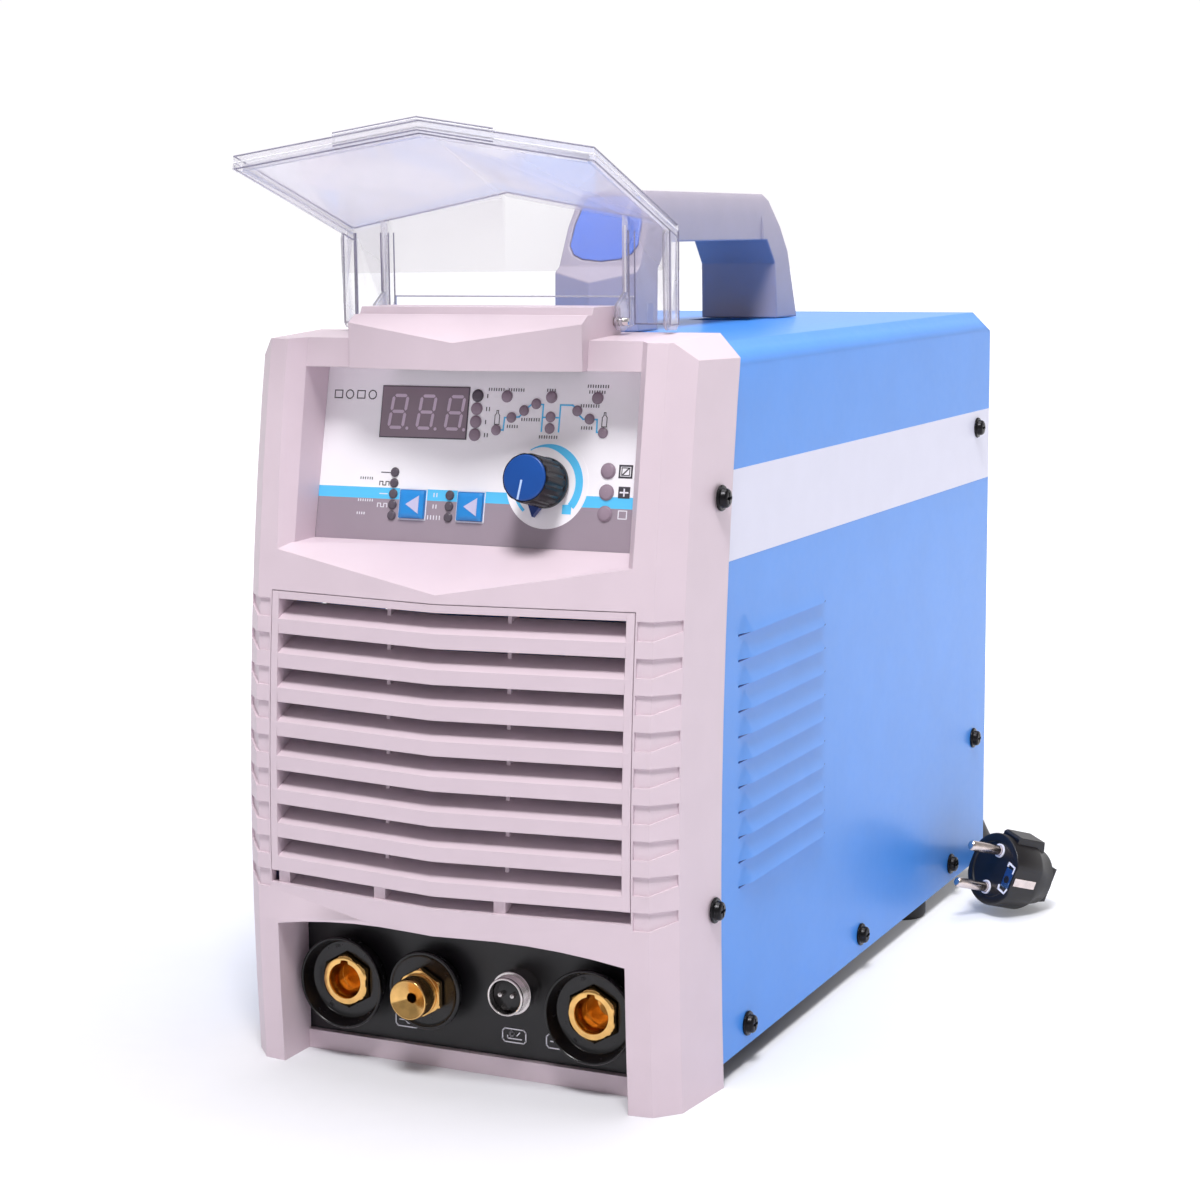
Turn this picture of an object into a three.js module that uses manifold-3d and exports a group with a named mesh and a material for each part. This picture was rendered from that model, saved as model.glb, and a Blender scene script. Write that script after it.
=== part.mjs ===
// A portable TIG welding machine with a moulded front bezel, a folded sheet cover, a clear
// flip-up guard over the controls, and a mains lead that lies coiled behind it.
// Millimetres. +X is the machine's right seen from the front, +Y the back, +Z up.
// Inside the machine group z = 0 is the lower edge of the cover, and y = 0 is just behind the
// rims of the weld sockets' flanges. The group then moves so that the origin is on the floor
// below the middle of the machine.
import * as THREE from "three";
import * as BufferGeometryUtils from "three/addons/utils/BufferGeometryUtils.js";
import Module from "manifold-3d";

const wasm = await Module();
wasm.setup();

// Driving dimensions ---------------------------------------------------------------------
const GAP = 0.3;
const FLOOR = -8;

const COVER = { half: 95, top: 277, chamfer: 9, sheet: 1.2, front: 25.5, back: 383 };
const BEZEL = { half: 96.8, top: 278.8, chamfer: 10.5, bottom: -8, wall: 3, rise: 0.048, flare: 0.042 };
const BOW = { radius: 1100, height: 62 };
const PLAN = { ridge: -22.1, creaseOne: [85, -11.3], creaseTwo: [93.4, -2.3], rear: 29.5 };
const PANEL = { foot: [17, 200], head: [31.6, 267.6], half: 72 };
const SILL = { middle: [-15.1, 185], end: [-4.5, 197.5], half: 77 };
const SETBACK = { foot: [2, 199], head: [14, 268] };
const BROW = { half: 50, front: [1.5, 10], edge: [278, 285], step: 288, top: 290.8, back: 44 };
const GRILLE = { half: 77.8, low: 70.9, high: 181.4, pitch: 13.42, first: 178.3, slats: 8 };
const BAY = { half: 75.5, side: 49.4, crown: 55.4, panelY: 10 };
const SOCKETS = { dinseX: 54.5, dinseZ: 24, torchX: -17.5, torchZ: 25, aviationX: 21.3,
  aviationZ: 29.1 };
const HINGE = { y: 38.5, z: 285, pin: 1.5 };
const GUARD = { fold: [51, 321], foldMid: [48.5, 334], free: [-28.5, 347.5], freeMid: [-19.6, 359] };
const GUARD_SIZE = { foldHalf: 71, freeHalf: 74, thick: 2.4, ribX: 52.6 };
const HANDLE = { base: 19.5, crown: 16.5, foot: COVER.top + GAP, prow: 120,
  slope: [[130.5, 304.2], [146.4, 335.6]] };
const TRIM_FOOT = 305.9;
const TRIM = [[9, 306.8], [13.6, 308.8], [16, 312.4], [15.6, 322], [12.6, 333.4]];
const KNOB = { x: 28.6, up: 24.9 };
const BUTTONS = { left: -29, right: -3.4, up: 14.7, size: 11 };
const FAN = { x: 0, z: 150, half: 60, bore: 56, back: 379.7, depth: 25.4 };
const LEAD = { diameter: 10, glandX: -74, glandZ: 15 };
const COIL = { x: -12, y: 472, mean: 52, band: 15.5, height: 20 };
const PLUG = { face: [122.6, 305.3, 14.7], heading: [-0.52, -0.81, 0.28], pinLine: [0.31, 0.12, 0.94],
  radius: 17.5, pinPitch: 19, pinLength: 19, exit: [-0.32, 0.94, -0.13] };
const SCREW_RADIUS = 2;

// Materials ------------------------------------------------------------------------------
function surface(color, roughness, metalness = 0) {
  return new THREE.MeshStandardMaterial({ color, roughness, metalness });
}
const PALE_PLASTIC = surface(0xd9c9cf, 0.5);
const BLUE_PAINT = surface(0x4f93ea, 0.45);
const BLACK_PAINT = surface(0x17171a, 0.5);
const BLACK_PLASTIC = surface(0x141416, 0.4);
const GREY_PLASTIC = surface(0x8d8c98, 0.5);
const BLUE_PLASTIC = surface(0x1c56a8, 0.35);
const CLEAR_PLASTIC = surface(0xe8e6f4, 0.1);
const OVERLAY = surface(0xe6e4ec, 0.4);
const SMOKED = surface(0x5b5157, 0.2);
const BOARD_GREEN = surface(0x1d6b3a, 0.6);
const BRASS = surface(0xd9a54a, 0.25, 1);
const NICKEL = surface(0xc8c4c6, 0.3, 1);
const ALUMINIUM = surface(0xb9bcc2, 0.4, 1);
const COPPER = surface(0xb06a3a, 0.4, 1);
const FERRITE = surface(0x2b2b2e, 0.8);
const RUBBER = surface(0x1b1b1d, 0.85);
const HOSE = surface(0x23262c, 0.6);

// Geometry helpers -----------------------------------------------------------------------
function dropFlatTriangles(index) {
  const kept = [];
  for (let i = 0; i < index.length; i += 3) {
    const [a, b, c] = [index[i], index[i + 1], index[i + 2]];
    if (a !== b && b !== c && c !== a) kept.push(a, b, c);
  }
  return kept;
}

function solidOf(geometry) {
  const bare = geometry.clone();
  bare.deleteAttribute("normal");
  bare.deleteAttribute("uv");
  const merged = BufferGeometryUtils.mergeVertices(bare, 1e-4);
  return new wasm.Manifold(new wasm.Mesh({
    numProp: 3,
    vertProperties: new Float32Array(merged.attributes.position.array),
    triVerts: new Uint32Array(dropFlatTriangles(merged.index.array)),
  }));
}

function geometryOf(solid) {
  const mesh = solid.getMesh();
  const geometry = new THREE.BufferGeometry();
  geometry.setAttribute("position", new THREE.BufferAttribute(mesh.vertProperties, 3));
  geometry.setIndex(new THREE.BufferAttribute(mesh.triVerts, 1));
  geometry.computeVertexNormals();
  return geometry;
}

function box(x0, x1, y0, y1, z0, z1) {
  const geometry = new THREE.BoxGeometry(x1 - x0, y1 - y0, z1 - z0);
  return solidOf(geometry.translate((x0 + x1) / 2, (y0 + y1) / 2, (z0 + z1) / 2));
}

// Turns a geometry made along +Z so that it runs along the named axis.
function alongAxis(geometry, axis) {
  if (axis === "x") return geometry.applyMatrix4(new THREE.Matrix4().set(
    0, 0, 1, 0, 1, 0, 0, 0, 0, 1, 0, 0, 0, 0, 0, 1));
  if (axis === "y") return geometry.applyMatrix4(new THREE.Matrix4().set(
    1, 0, 0, 0, 0, 0, 1, 0, 0, -1, 0, 0, 0, 0, 0, 1));
  return geometry;
}

// An outline pushed along an axis: [y, z] pairs along x, [x, z] along y, [x, y] along z.
function prism(outline, axis, from, to) {
  const flip = axis === "y" ? -1 : 1;
  const shape = new THREE.Shape(outline.map(([u, v]) => new THREE.Vector2(u, flip * v)));
  const geometry = new THREE.ExtrudeGeometry(shape, { depth: to - from, bevelEnabled: false });
  return solidOf(alongAxis(geometry.translate(0, 0, from), axis));
}

function ringPoints(radius, sides, [u, v] = [0, 0], start = 0) {
  return Array.from({ length: sides }, (_, i) => {
    const angle = start + (i / sides) * 2 * Math.PI;
    return [u + radius * Math.cos(angle), v + radius * Math.sin(angle)];
  });
}

function rod(axis, centre, radius, from, to, sides = 24) {
  return prism(ringPoints(radius, sides, centre, Math.PI / sides), axis, from, to);
}

// A turned part: profile pairs are [radius, distance along the axis], from axis to axis.
function turned(profile, axis, [u, v], sides = 28) {
  const points = profile.map(([radius, along]) => new THREE.Vector2(radius, along));
  const geometry = new THREE.LatheGeometry(points, sides);
  geometry.rotateX(Math.PI / 2);
  alongAxis(geometry, axis);
  if (axis === "x") geometry.translate(0, u, v);
  if (axis === "y") geometry.translate(u, 0, v);
  if (axis === "z") geometry.translate(u, v, 0);
  return outward(solidOf(geometry), geometry);
}

function outward(solid, geometry) {
  if (solid.volume() > 0) return solid;
  const index = geometry.index.array;
  for (let i = 0; i < index.length; i += 3) [index[i], index[i + 1]] = [index[i + 1], index[i]];
  return solidOf(geometry);
}

// A body through several rings of points, each ring with the same number of points.
function loft(rings) {
  const count = rings[0].length;
  const index = [];
  for (let r = 0; r + 1 < rings.length; r += 1) {
    for (let i = 0; i < count; i += 1) {
      const a = r * count + i;
      const b = r * count + ((i + 1) % count);
      index.push(a, b, b + count, a, b + count, a + count);
    }
  }
  const last = (rings.length - 1) * count;
  for (const [a, b, c] of capOf(rings[0])) index.push(c, b, a);
  for (const [a, b, c] of capOf(rings[rings.length - 1])) index.push(last + a, last + b, last + c);
  const geometry = new THREE.BufferGeometry();
  const positions = rings.flat().flatMap((point) => [point.x, point.y, point.z]);
  geometry.setAttribute("position", new THREE.Float32BufferAttribute(positions, 3));
  geometry.setIndex(index);
  return outward(solidOf(geometry), geometry);
}

// Triangles that close one ring, turning the same way as the ring itself.
function capOf(ring) {
  const normal = new THREE.Vector3();
  ring.forEach((point, i) => normal.add(
    point.clone().cross(ring[(i + 1) % ring.length])));
  const side = ring[1].clone().sub(ring[0]).normalize();
  const across = normal.clone().normalize().cross(side);
  const flat = ring.map((point) => new THREE.Vector2(point.dot(side), point.dot(across)));
  const order = THREE.ShapeUtils.isClockWise(flat) ? -1 : 1;
  return THREE.ShapeUtils.triangulateShape(flat, []).map(([a, b, c]) => {
    const [p, q, r] = [flat[a], flat[b], flat[c]];
    const turn = (q.x - p.x) * (r.y - p.y) - (q.y - p.y) * (r.x - p.x);
    return turn * order > 0 ? [a, b, c] : [a, c, b];
  });
}

function joined(...solids) {
  return solids.flat().reduce((sum, solid) => sum.add(solid));
}

function cutBy(solid, ...tools) {
  return tools.flat().reduce((rest, tool) => rest.subtract(tool), solid);
}

function both(make) {
  return [-1, 1].map(make);
}

// A tube of round section along a list of points.
function hose(points, diameter, steps, sides = 8) {
  const path = new THREE.CatmullRomCurve3(points.map((p) => new THREE.Vector3(...p)));
  const section = new THREE.Shape(
    ringPoints(diameter / 2, sides).map(([u, v]) => new THREE.Vector2(u, v)));
  const settings = { steps, extrudePath: path, bevelEnabled: false };
  return solidOf(new THREE.ExtrudeGeometry(section, settings));
}

// Shape of the bezel's front --------------------------------------------------------------
function bow(z) {
  return (z - BOW.height) ** 2 / (2 * BOW.radius);
}

function ridgeSlope() {
  return (PLAN.creaseOne[1] - PLAN.ridge) / PLAN.creaseOne[0];
}

// Front surface of the bezel between the creases.
function frontY(x, z) {
  return PLAN.ridge + ridgeSlope() * Math.abs(x) + bow(z);
}

function levels(from, to, count) {
  return Array.from({ length: count + 1 }, (_, i) => from + ((to - from) * i) / count);
}

function bezelBlank() {
  return loft(levels(BEZEL.bottom, BEZEL.top + 6, 10).map((z) => {
    const [oneX, oneY] = PLAN.creaseOne;
    const [twoX, twoY] = PLAN.creaseTwo;
    const plan = [[-BEZEL.half, PLAN.rear], [-twoX, twoY], [-oneX, oneY], [0, PLAN.ridge],
      [oneX, oneY], [twoX, twoY], [BEZEL.half, PLAN.rear]];
    return plan.map(([x, y]) => new THREE.Vector3(x, y + bow(z), z));
  }));
}

function shoulderOutline(half, top, chamfer, bottom) {
  return [[-half, bottom], [half, bottom], [half, top - chamfer], [half - chamfer, top],
    [chamfer - half, top], [-half, top - chamfer]];
}

// The bezel's shoulders: its top rises a little towards the back, and its chamfers narrow.
function bezelShoulders() {
  return loft([-60, 90].map((y) => {
    const back = y - 15;
    const top = BEZEL.top + BEZEL.rise * back;
    const chamfer = BEZEL.chamfer - BEZEL.flare * back;
    return shoulderOutline(BEZEL.half, top, chamfer, BEZEL.bottom).map(([x, z]) => (
      new THREE.Vector3(x, y, z)));
  }));
}

// Everything behind a plane that follows the bow of the bezel.
function behindBow(from) {
  return loft(levels(BEZEL.bottom, BEZEL.top, 10).map((z) => (
    [[-120, from + bow(z)], [120, from + bow(z)], [120, 500], [-120, 500]].map(([x, y]) => (
      new THREE.Vector3(x, y, z))))));
}

function sheetRoom() {
  const outline = shoulderOutline(COVER.half + GAP, COVER.top + GAP, COVER.chamfer, -GAP);
  return prism(outline, "y", 10, 120).intersect(behindBow(COVER.front - GAP));
}

function bezelCavity() {
  const wall = BEZEL.wall;
  const [oneX, oneY] = PLAN.creaseOne;
  const [twoX, twoY] = PLAN.creaseTwo;
  const half = twoX - wall + 0.4;
  const inside = loft(levels(-GAP, BEZEL.top - wall, 10).map((z) => {
    const plan = [[-half, 80], [-half, twoY + wall], [-oneX + 1.4, oneY + wall + 0.4],
      [0, PLAN.ridge + wall], [oneX - 1.4, oneY + wall + 0.4], [half, twoY + wall], [half, 80]];
    return plan.map(([x, y]) => new THREE.Vector3(x, y > 60 ? y : y + bow(z), z));
  }));
  const shoulders = prism(shoulderOutline(BEZEL.half - wall, BEZEL.top - wall, BEZEL.chamfer - 1, -GAP),
    "y", -60, 90);
  return joined(inside.intersect(shoulders), sheetRoom());
}

function sillEdge(x, drop = 0) {
  const share = Math.abs(x) / SILL.half;
  const y = SILL.middle[0] + (SILL.end[0] - SILL.middle[0]) * share;
  const z = SILL.middle[1] + (SILL.end[1] - SILL.middle[1]) * share;
  return [y, z - drop];
}

// Everything above the sloping sill, drop below its surface, out to the given half width.
function aboveSill(half, drop = 0) {
  return loft([-half, 0, half].map((x) => {
    const [y, z] = sillEdge(x, drop);
    const outline = [[-70, z], [y, z], [PANEL.foot[0], PANEL.foot[1] - drop],
      [60, PANEL.foot[1] - drop], [60, 300], [-70, 300]];
    return outline.map(([v, w]) => new THREE.Vector3(x, v, w));
  }));
}

function panelLength() {
  return Math.hypot(PANEL.head[0] - PANEL.foot[0], PANEL.head[1] - PANEL.foot[1]);
}

// A point of the panel's plane, up the slope from its foot, and off it towards the front.
function panelPoint(up, off = 0) {
  const [y0, z0] = PANEL.foot;
  const [y1, z1] = PANEL.head;
  const length = panelLength();
  const [uy, uz] = [(y1 - y0) / length, (z1 - z0) / length];
  return [y0 + uy * up - uz * off, z0 + uz * up + uy * off];
}

function panelAngle() {
  return Math.atan2(PANEL.head[0] - PANEL.foot[0], PANEL.head[1] - PANEL.foot[1]);
}

// The space in front of the control panel, between the given side walls.
function windowRoom(half, grow) {
  const foot = panelPoint(-grow - 20);
  const head = panelPoint(panelLength() + grow);
  return prism([[-70, foot[1]], foot, head, [-70, head[1]]], "x", -half, half);
}

function setbackY(z) {
  const [y0, z0] = SETBACK.foot;
  const [y1, z1] = SETBACK.head;
  return y0 + ((z - z0) * (y1 - y0)) / (z1 - z0);
}

// The shallow well between the two pilasters: its side faces slope inwards as they go back.
function setbackRoom() {
  const [depth, narrow] = [7, SILL.half - PANEL.half];
  return loft([170, 300].map((z) => {
    const y = setbackY(z);
    const wide = PANEL.half + narrow * 2;
    const plan = [[-PANEL.half, y], [PANEL.half, y], [wide, y - depth * 2], [wide, -70],
      [-wide, -70], [-wide, y - depth * 2]];
    return plan.map(([x, v]) => new THREE.Vector3(x, v, z));
  }));
}

function setbackWall() {
  const lean = [180, BEZEL.top].map((z) => [
    [-81, setbackY(z) - 16], [81, setbackY(z) - 16], [81, setbackY(z) + BEZEL.wall],
    [-81, setbackY(z) + BEZEL.wall]].map(([x, y]) => new THREE.Vector3(x, y, z)));
  return loft(lean);
}

function browSection(x, inset = 0) {
  const share = Math.abs(x) / BROW.half;
  const front = BROW.front[0] + (BROW.front[1] - BROW.front[0]) * share + inset;
  const edge = BROW.edge[0] + (BROW.edge[1] - BROW.edge[0]) * share - inset;
  const low = inset ? 270.2 : 266;
  const heel = inset ? 250 : 272;
  return [[front, low], [front, edge], [15 + inset, BROW.step - inset], [19, BROW.step - inset],
    [20.5 + inset, BROW.top - inset], [BROW.back - inset, BROW.top - inset],
    [BROW.back - inset, heel], [26, heel], [26, low]].map(([y, z]) => new THREE.Vector3(x, y, z));
}

function brow(half, inset = 0) {
  return loft([-half, 0, half].map((x) => {
    const reach = Math.abs(x) > 0 ? Math.sign(x) * BROW.half : 0;
    return browSection(reach, inset).map((p) => new THREE.Vector3(x, p.y, p.z));
  }));
}

function bayOutline(grow, low = -30) {
  const arch = levels(BAY.half, -BAY.half, 12).map((x) => {
    const outer = Math.max(0, Math.abs(x) - 18) / (BAY.half - 18);
    const z = BAY.crown - (BAY.crown - BAY.side) * outer ** 2;
    return [x * (1 + grow / BAY.half), z + grow];
  });
  return [[-BAY.half - grow, low], [BAY.half + grow, low], ...arch];
}

// Nine shallow pockets carry the lines of the grille round the bezel's two edges.
function edgePockets() {
  const pockets = [];
  for (let i = 0; i <= GRILLE.slats; i += 1) {
    const top = GRILLE.first - i * GRILLE.pitch;
    const low = top - 7.1;
    for (const side of [-1, 1]) {
      const at = (x, y, z) => new THREE.Vector3(side * x, y + bow(z), z);
      const [oneX, oneY] = PLAN.creaseOne;
      const [twoX, twoY] = PLAN.creaseTwo;
      const inner = GRILLE.half + 1;
      const innerY = frontY(inner, BOW.height);
      const depth = 1.1;
      pockets.push(loft([
        [at(inner, innerY - 3, low), at(inner, innerY - 3, top),
          at(inner, innerY + depth, top), at(inner, innerY + depth, low)],
        [at(oneX + 0.8, oneY - 3, low), at(oneX + 0.8, oneY - 3, top),
          at(oneX - 0.4, oneY + depth, top), at(oneX - 0.4, oneY + depth, low)],
        [at(twoX + 1.4, twoY - 2.4, low + 3), at(twoX + 1.4, twoY - 2.4, top),
          at(twoX - 1, twoY + 0.4, top), at(twoX - 1, twoY + 0.4, low + 3)],
      ]));
    }
  }
  return pockets;
}

// Posts that stiffen the lowest, wide opening under the grille.
function lowPosts() {
  return [-GRILLE.half + 5, -26, 26].map((x) => {
    const y = frontY(x, BOW.height) + 2;
    return box(x - 2.5, x + 2.5, y, y + 5, 64, GRILLE.low - GAP);
  });
}

// Sloping vane behind the lowest opening, in line with the slats above it.
function lowVane() {
  const rail = 66;
  return bent([[0.6, rail - 3], [0.6, rail], [3, rail], [12.5, rail + 3.9], [12.5, rail + 1.2],
    [3, rail - 3]], GRILLE.half - 1, rail);
}

function frontBezel() {
  const blank = bezelBlank().intersect(bezelShoulders());
  const windowWalls = windowRoom(PANEL.half + 2.4, 2.4).intersect(aboveSill(90, 2.6));
  const solidParts = joined(
    cutBy(blank, bezelCavity()),
    blank.intersect(windowWalls),
    blank.intersect(setbackWall()).intersect(aboveSill(90, 2.6)),
    blank.intersect(prism(bayOutline(2.4), "y", -60, BAY.panelY - GAP)),
    blank.intersect(box(-BAY.half - 3, BAY.half + 3, -60, 12, -8, -GAP)));
  const clearAbove = aboveSill(90);
  const grilleRoom = box(-GRILLE.half - GAP, GRILLE.half + GAP, -40, 20, 66, GRILLE.high + GAP);
  const shaped = cutBy(solidParts,
    setbackRoom().intersect(clearAbove),
    windowRoom(PANEL.half, 0).intersect(clearAbove),
    grilleRoom,
    prism(bayOutline(0), "y", -60, BAY.panelY - 2),
    prism(bayOutline(0, -GAP), "y", -60, BAY.panelY),
    box(-BAY.half, BAY.half, BAY.panelY + 2, 90, BEZEL.bottom - 5, 0),
    box(-BAY.half, BAY.half, -60, BAY.panelY - 2, -30, 10),
    edgePockets());
  const hump = cutBy(brow(BROW.half), brow(BROW.half - 6, 2.5), windowRoom(PANEL.half, 0));
  const pinHoles = both((side) => rod("x", [HINGE.y, HINGE.z], HINGE.pin + GAP,
    side > 0 ? 45.4 : -60, side > 0 ? 60 : -45.4, 16));
  const under = box(-BROW.half + 8, BROW.half - 8, 22, BROW.back - 3, 262, 280);
  return cutBy(joined(shaped, hump, lowPosts(), lowVane()), under, pinHoles, sheetRoom(),
    sideScrewHoles(true));
}

// Side screws: two through the bezel, five through the cover, on each side.
function sideScrewSpots() {
  return [[31, 220.5], [24, 64.5], [362.5, 221.3], [362.5, 65.4], [327, 9], [194.3, 9], [60.2, 9]];
}

function sideScrewHoles(inBezel) {
  const spots = sideScrewSpots().filter((_, i) => (inBezel ? i < 2 : i >= 2));
  return spots.map((spot) => rod("x", spot, SCREW_RADIUS + GAP, -110, 110, 10));
}

// Front grille insert ---------------------------------------------------------------------
function bent(outline, half, z = 0) {
  return loft([-half, 0, half].map((x) => outline.map(([y, w]) => (
    new THREE.Vector3(x, y + PLAN.ridge + ridgeSlope() * Math.abs(x) + bow(z || w), w)))));
}

function grilleInsert() {
  const half = GRILLE.half;
  const slats = Array.from({ length: GRILLE.slats }, (_, i) => {
    const face = GRILLE.first - i * GRILLE.pitch - 7.7;
    const low = face - 5.7;
    return bent([[0, low], [0, face], [12.5, face + 5.4], [12.5, face + 2.6], [3.2, face - 3.4],
      [3.2, low]], half - 1, face);
  });
  const topBar = bent([[0, GRILLE.high - 3], [0, GRILLE.high], [5, GRILLE.high],
    [5, GRILLE.high - 3]], half - 1, GRILLE.high);
  const uprights = both((side) => loft([GRILLE.low, 90, 120, 150, GRILLE.high].map((z) => (
    [[half - 3.2, 0], [half, 0], [half, 13], [half - 3.2, 13]].map(([x, y]) => (
      new THREE.Vector3(side * x, frontY(x, z) + y, z)))))));
  const ribs = [-26, 26].map((x) => loft([GRILLE.low + 3, GRILLE.high].map((z) => (
    [[x - 0.8, 8], [x + 0.8, 8], [x + 0.8, 14], [x - 0.8, 14]].map(([u, y]) => (
      new THREE.Vector3(u, frontY(x, z) + y, z)))))));
  return joined(slats, topBar, uprights, ribs);
}

// Control panel and what stands behind it ---------------------------------------------------
// Local frame of the panel: u to the right, v up the panel, w out towards the user.
function onPanel(solid) {
  const [y, z] = panelPoint(0);
  const angle = panelAngle();
  const [c, s] = [Math.cos(angle), Math.sin(angle)];
  const place = new THREE.Matrix4().set(1, 0, 0, 0, 0, s, -c, y, 0, c, s, z, 0, 0, 0, 1);
  return solidOf(geometryOf(solid).applyMatrix4(place));
}

function tile(u0, u1, v0, v1, w0, w1) {
  return box(u0, u1, v0, v1, w0, w1);
}

function controlPanel() {
  const plate = tile(-76, 76, -3, 71, -2, -GAP);
  const windowHole = tile(-46.5, -7.9, 40.7, 61, -5, 5);
  const shaftHole = rod("z", [KNOB.x, KNOB.up], 4, -5, 5, 20);
  const buttonHoles = [BUTTONS.left, BUTTONS.right].map((u) => tile(
    u - BUTTONS.size / 2 - GAP, u + BUTTONS.size / 2 + GAP,
    BUTTONS.up - BUTTONS.size / 2 - GAP, BUTTONS.up + BUTTONS.size / 2 + GAP, -5, 5));
  return onPanel(cutBy(plate, windowHole, shaftHole, buttonHoles));
}

function displayWindow() {
  return onPanel(tile(-46.2, -8.2, 41, 60.7, -2, 0.2));
}

function displayModule() {
  return onPanel(tile(-45.6, -8.8, 41.3, 60.4, -10, -2.3));
}

function controlBoard() {
  const board = tile(-70, 70, 0, 66, -13.6, -12);
  const bushHole = rod("z", [KNOB.x, KNOB.up], 3.8, -20, 0, 16);
  return onPanel(cutBy(board, bushHole));
}

function potBody() {
  const can = rod("z", [KNOB.x, KNOB.up], 8.5, -24, -14, 20);
  const bush = rod("z", [KNOB.x, KNOB.up], 3.5, -14.2, -1, 16);
  const bore = rod("z", [KNOB.x, KNOB.up], 2.9, -22, 5, 16);
  return onPanel(cutBy(joined(can, bush), bore));
}

function potShaft() {
  return onPanel(rod("z", [KNOB.x, KNOB.up], 2.6, -21.6, 12, 16));
}

function scallops(radius, depth, count) {
  return Array.from({ length: count * 4 }, (_, i) => {
    const angle = (i / (count * 4)) * 2 * Math.PI;
    const r = radius - (depth / 2) * (1 - Math.cos(count * angle));
    return [KNOB.x + r * Math.cos(angle), KNOB.up + r * Math.sin(angle)];
  });
}

function knobSkirt() {
  const skirt = rod("z", [KNOB.x, KNOB.up], 9.5, 1, 4, 32);
  const grip = prism(scallops(9.3, 0.5, 14), "z", 3, 18.4);
  const pointer = prism([[KNOB.x - 6, KNOB.up - 6.8], [KNOB.x - 3.5, KNOB.up - 13.3],
    [KNOB.x - 0.8, KNOB.up - 9.2]], "z", 1, 3.4);
  const bore = rod("z", [KNOB.x, KNOB.up], 2.9, 0, 12.3, 16);
  const capSeat = rod("z", [KNOB.x, KNOB.up], 8.1, 17.2, 20, 32);
  return onPanel(cutBy(joined(skirt, grip, pointer), bore, capSeat));
}

function knobCap() {
  return onPanel(rod("z", [KNOB.x, KNOB.up], 7.8, 17.5, 19.4, 32));
}

function pushButton(u) {
  const half = BUTTONS.size / 2;
  const cap = tile(u - half, u + half, BUTTONS.up - half, BUTTONS.up + half, -2.2, 1.4);
  const stem = rod("z", [u, BUTTONS.up], 2, -6.4, -2, 12);
  return onPanel(joined(cap, stem));
}

function tactSwitch(u) {
  return onPanel(tile(u - 3, u + 3, BUTTONS.up - 3, BUTTONS.up + 3, -11.7, -7.6));
}

// Clear guard, drawn open -------------------------------------------------------------------
function guardLeaf() {
  const t = GUARD_SIZE.thick;
  const ring = (x0, x1, fold, free, sink) => {
    const [dy, dz] = [free[0] - fold[0], free[1] - fold[1]];
    const length = Math.hypot(dy, dz);
    const [ny, nz] = [(dz / length) * sink, (-dy / length) * sink];
    return [new THREE.Vector3(x0, fold[0], fold[1]), new THREE.Vector3(x1, free[0], free[1]),
      new THREE.Vector3(x1, free[0] - ny, free[1] - nz),
      new THREE.Vector3(x0, fold[0] - ny, fold[1] - nz)];
  };
  const { foldHalf, freeHalf } = GUARD_SIZE;
  const sheet = loft([
    ring(-foldHalf, -freeHalf, GUARD.fold, GUARD.free, t),
    ring(0, 0, GUARD.foldMid, GUARD.freeMid, t),
    ring(foldHalf, freeHalf, GUARD.fold, GUARD.free, t)]);
  const rims = both((side) => loft([
    ring(side * foldHalf, side * freeHalf, GUARD.fold, GUARD.free, 5),
    ring(side * (foldHalf - 2), side * (freeHalf - 2), GUARD.fold, GUARD.free, 5)]));
  return joined(sheet, rims, guardLip());
}

// Front rim of the leaf, with a raised pull lip across its middle.
function guardLip() {
  const edge = (x, y0, up, down, back) => {
    const share = Math.abs(x) / GUARD_SIZE.freeHalf;
    const y = GUARD.freeMid[0] + (GUARD.free[0] - GUARD.freeMid[0]) * share;
    const z = GUARD.freeMid[1] + (GUARD.free[1] - GUARD.freeMid[1]) * share;
    return [[y - y0, z - down], [y - y0, z + up], [y + back, z + up - 1], [y + back, z - down - 1]]
      .map(([v, w]) => new THREE.Vector3(x, v, w));
  };
  const half = GUARD_SIZE.freeHalf;
  const rim = loft([-half, 0, half].map((x) => edge(x, 0.6, 0.2, 5, 1.8)));
  const lip = loft([-33, 0, 33].map((x) => edge(x, 2.4, 1.4, 3.6, 1.4)));
  return joined(rim, lip);
}

function guardWall() {
  const t = GUARD_SIZE.thick;
  const { foldHalf, ribX } = GUARD_SIZE;
  const slab = (x0, x1, low) => loft([x0, x1].map((x) => {
    const share = 1 - Math.abs(x) / foldHalf;
    const y = GUARD.fold[0] + (GUARD.foldMid[0] - GUARD.fold[0]) * share;
    const top = GUARD.fold[1] + (GUARD.foldMid[1] - GUARD.fold[1]) * share;
    return [[y - t, low], [y, low], [y, top - 0.4], [y - t, top - 1.2]]
      .map(([v, w]) => new THREE.Vector3(x, v, w));
  }));
  const middle = [slab(-ribX - 1, 0, 294), slab(0, ribX + 1, 294)];
  const outer = both((side) => slab(side * ribX, side * foldHalf, 283.6));
  const notches = both((side) => box(side * 60 - 1.6, side * 60 + 1.6, 40, 60, 280, 291.5));
  return cutBy(joined(middle, outer), notches);
}

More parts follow.
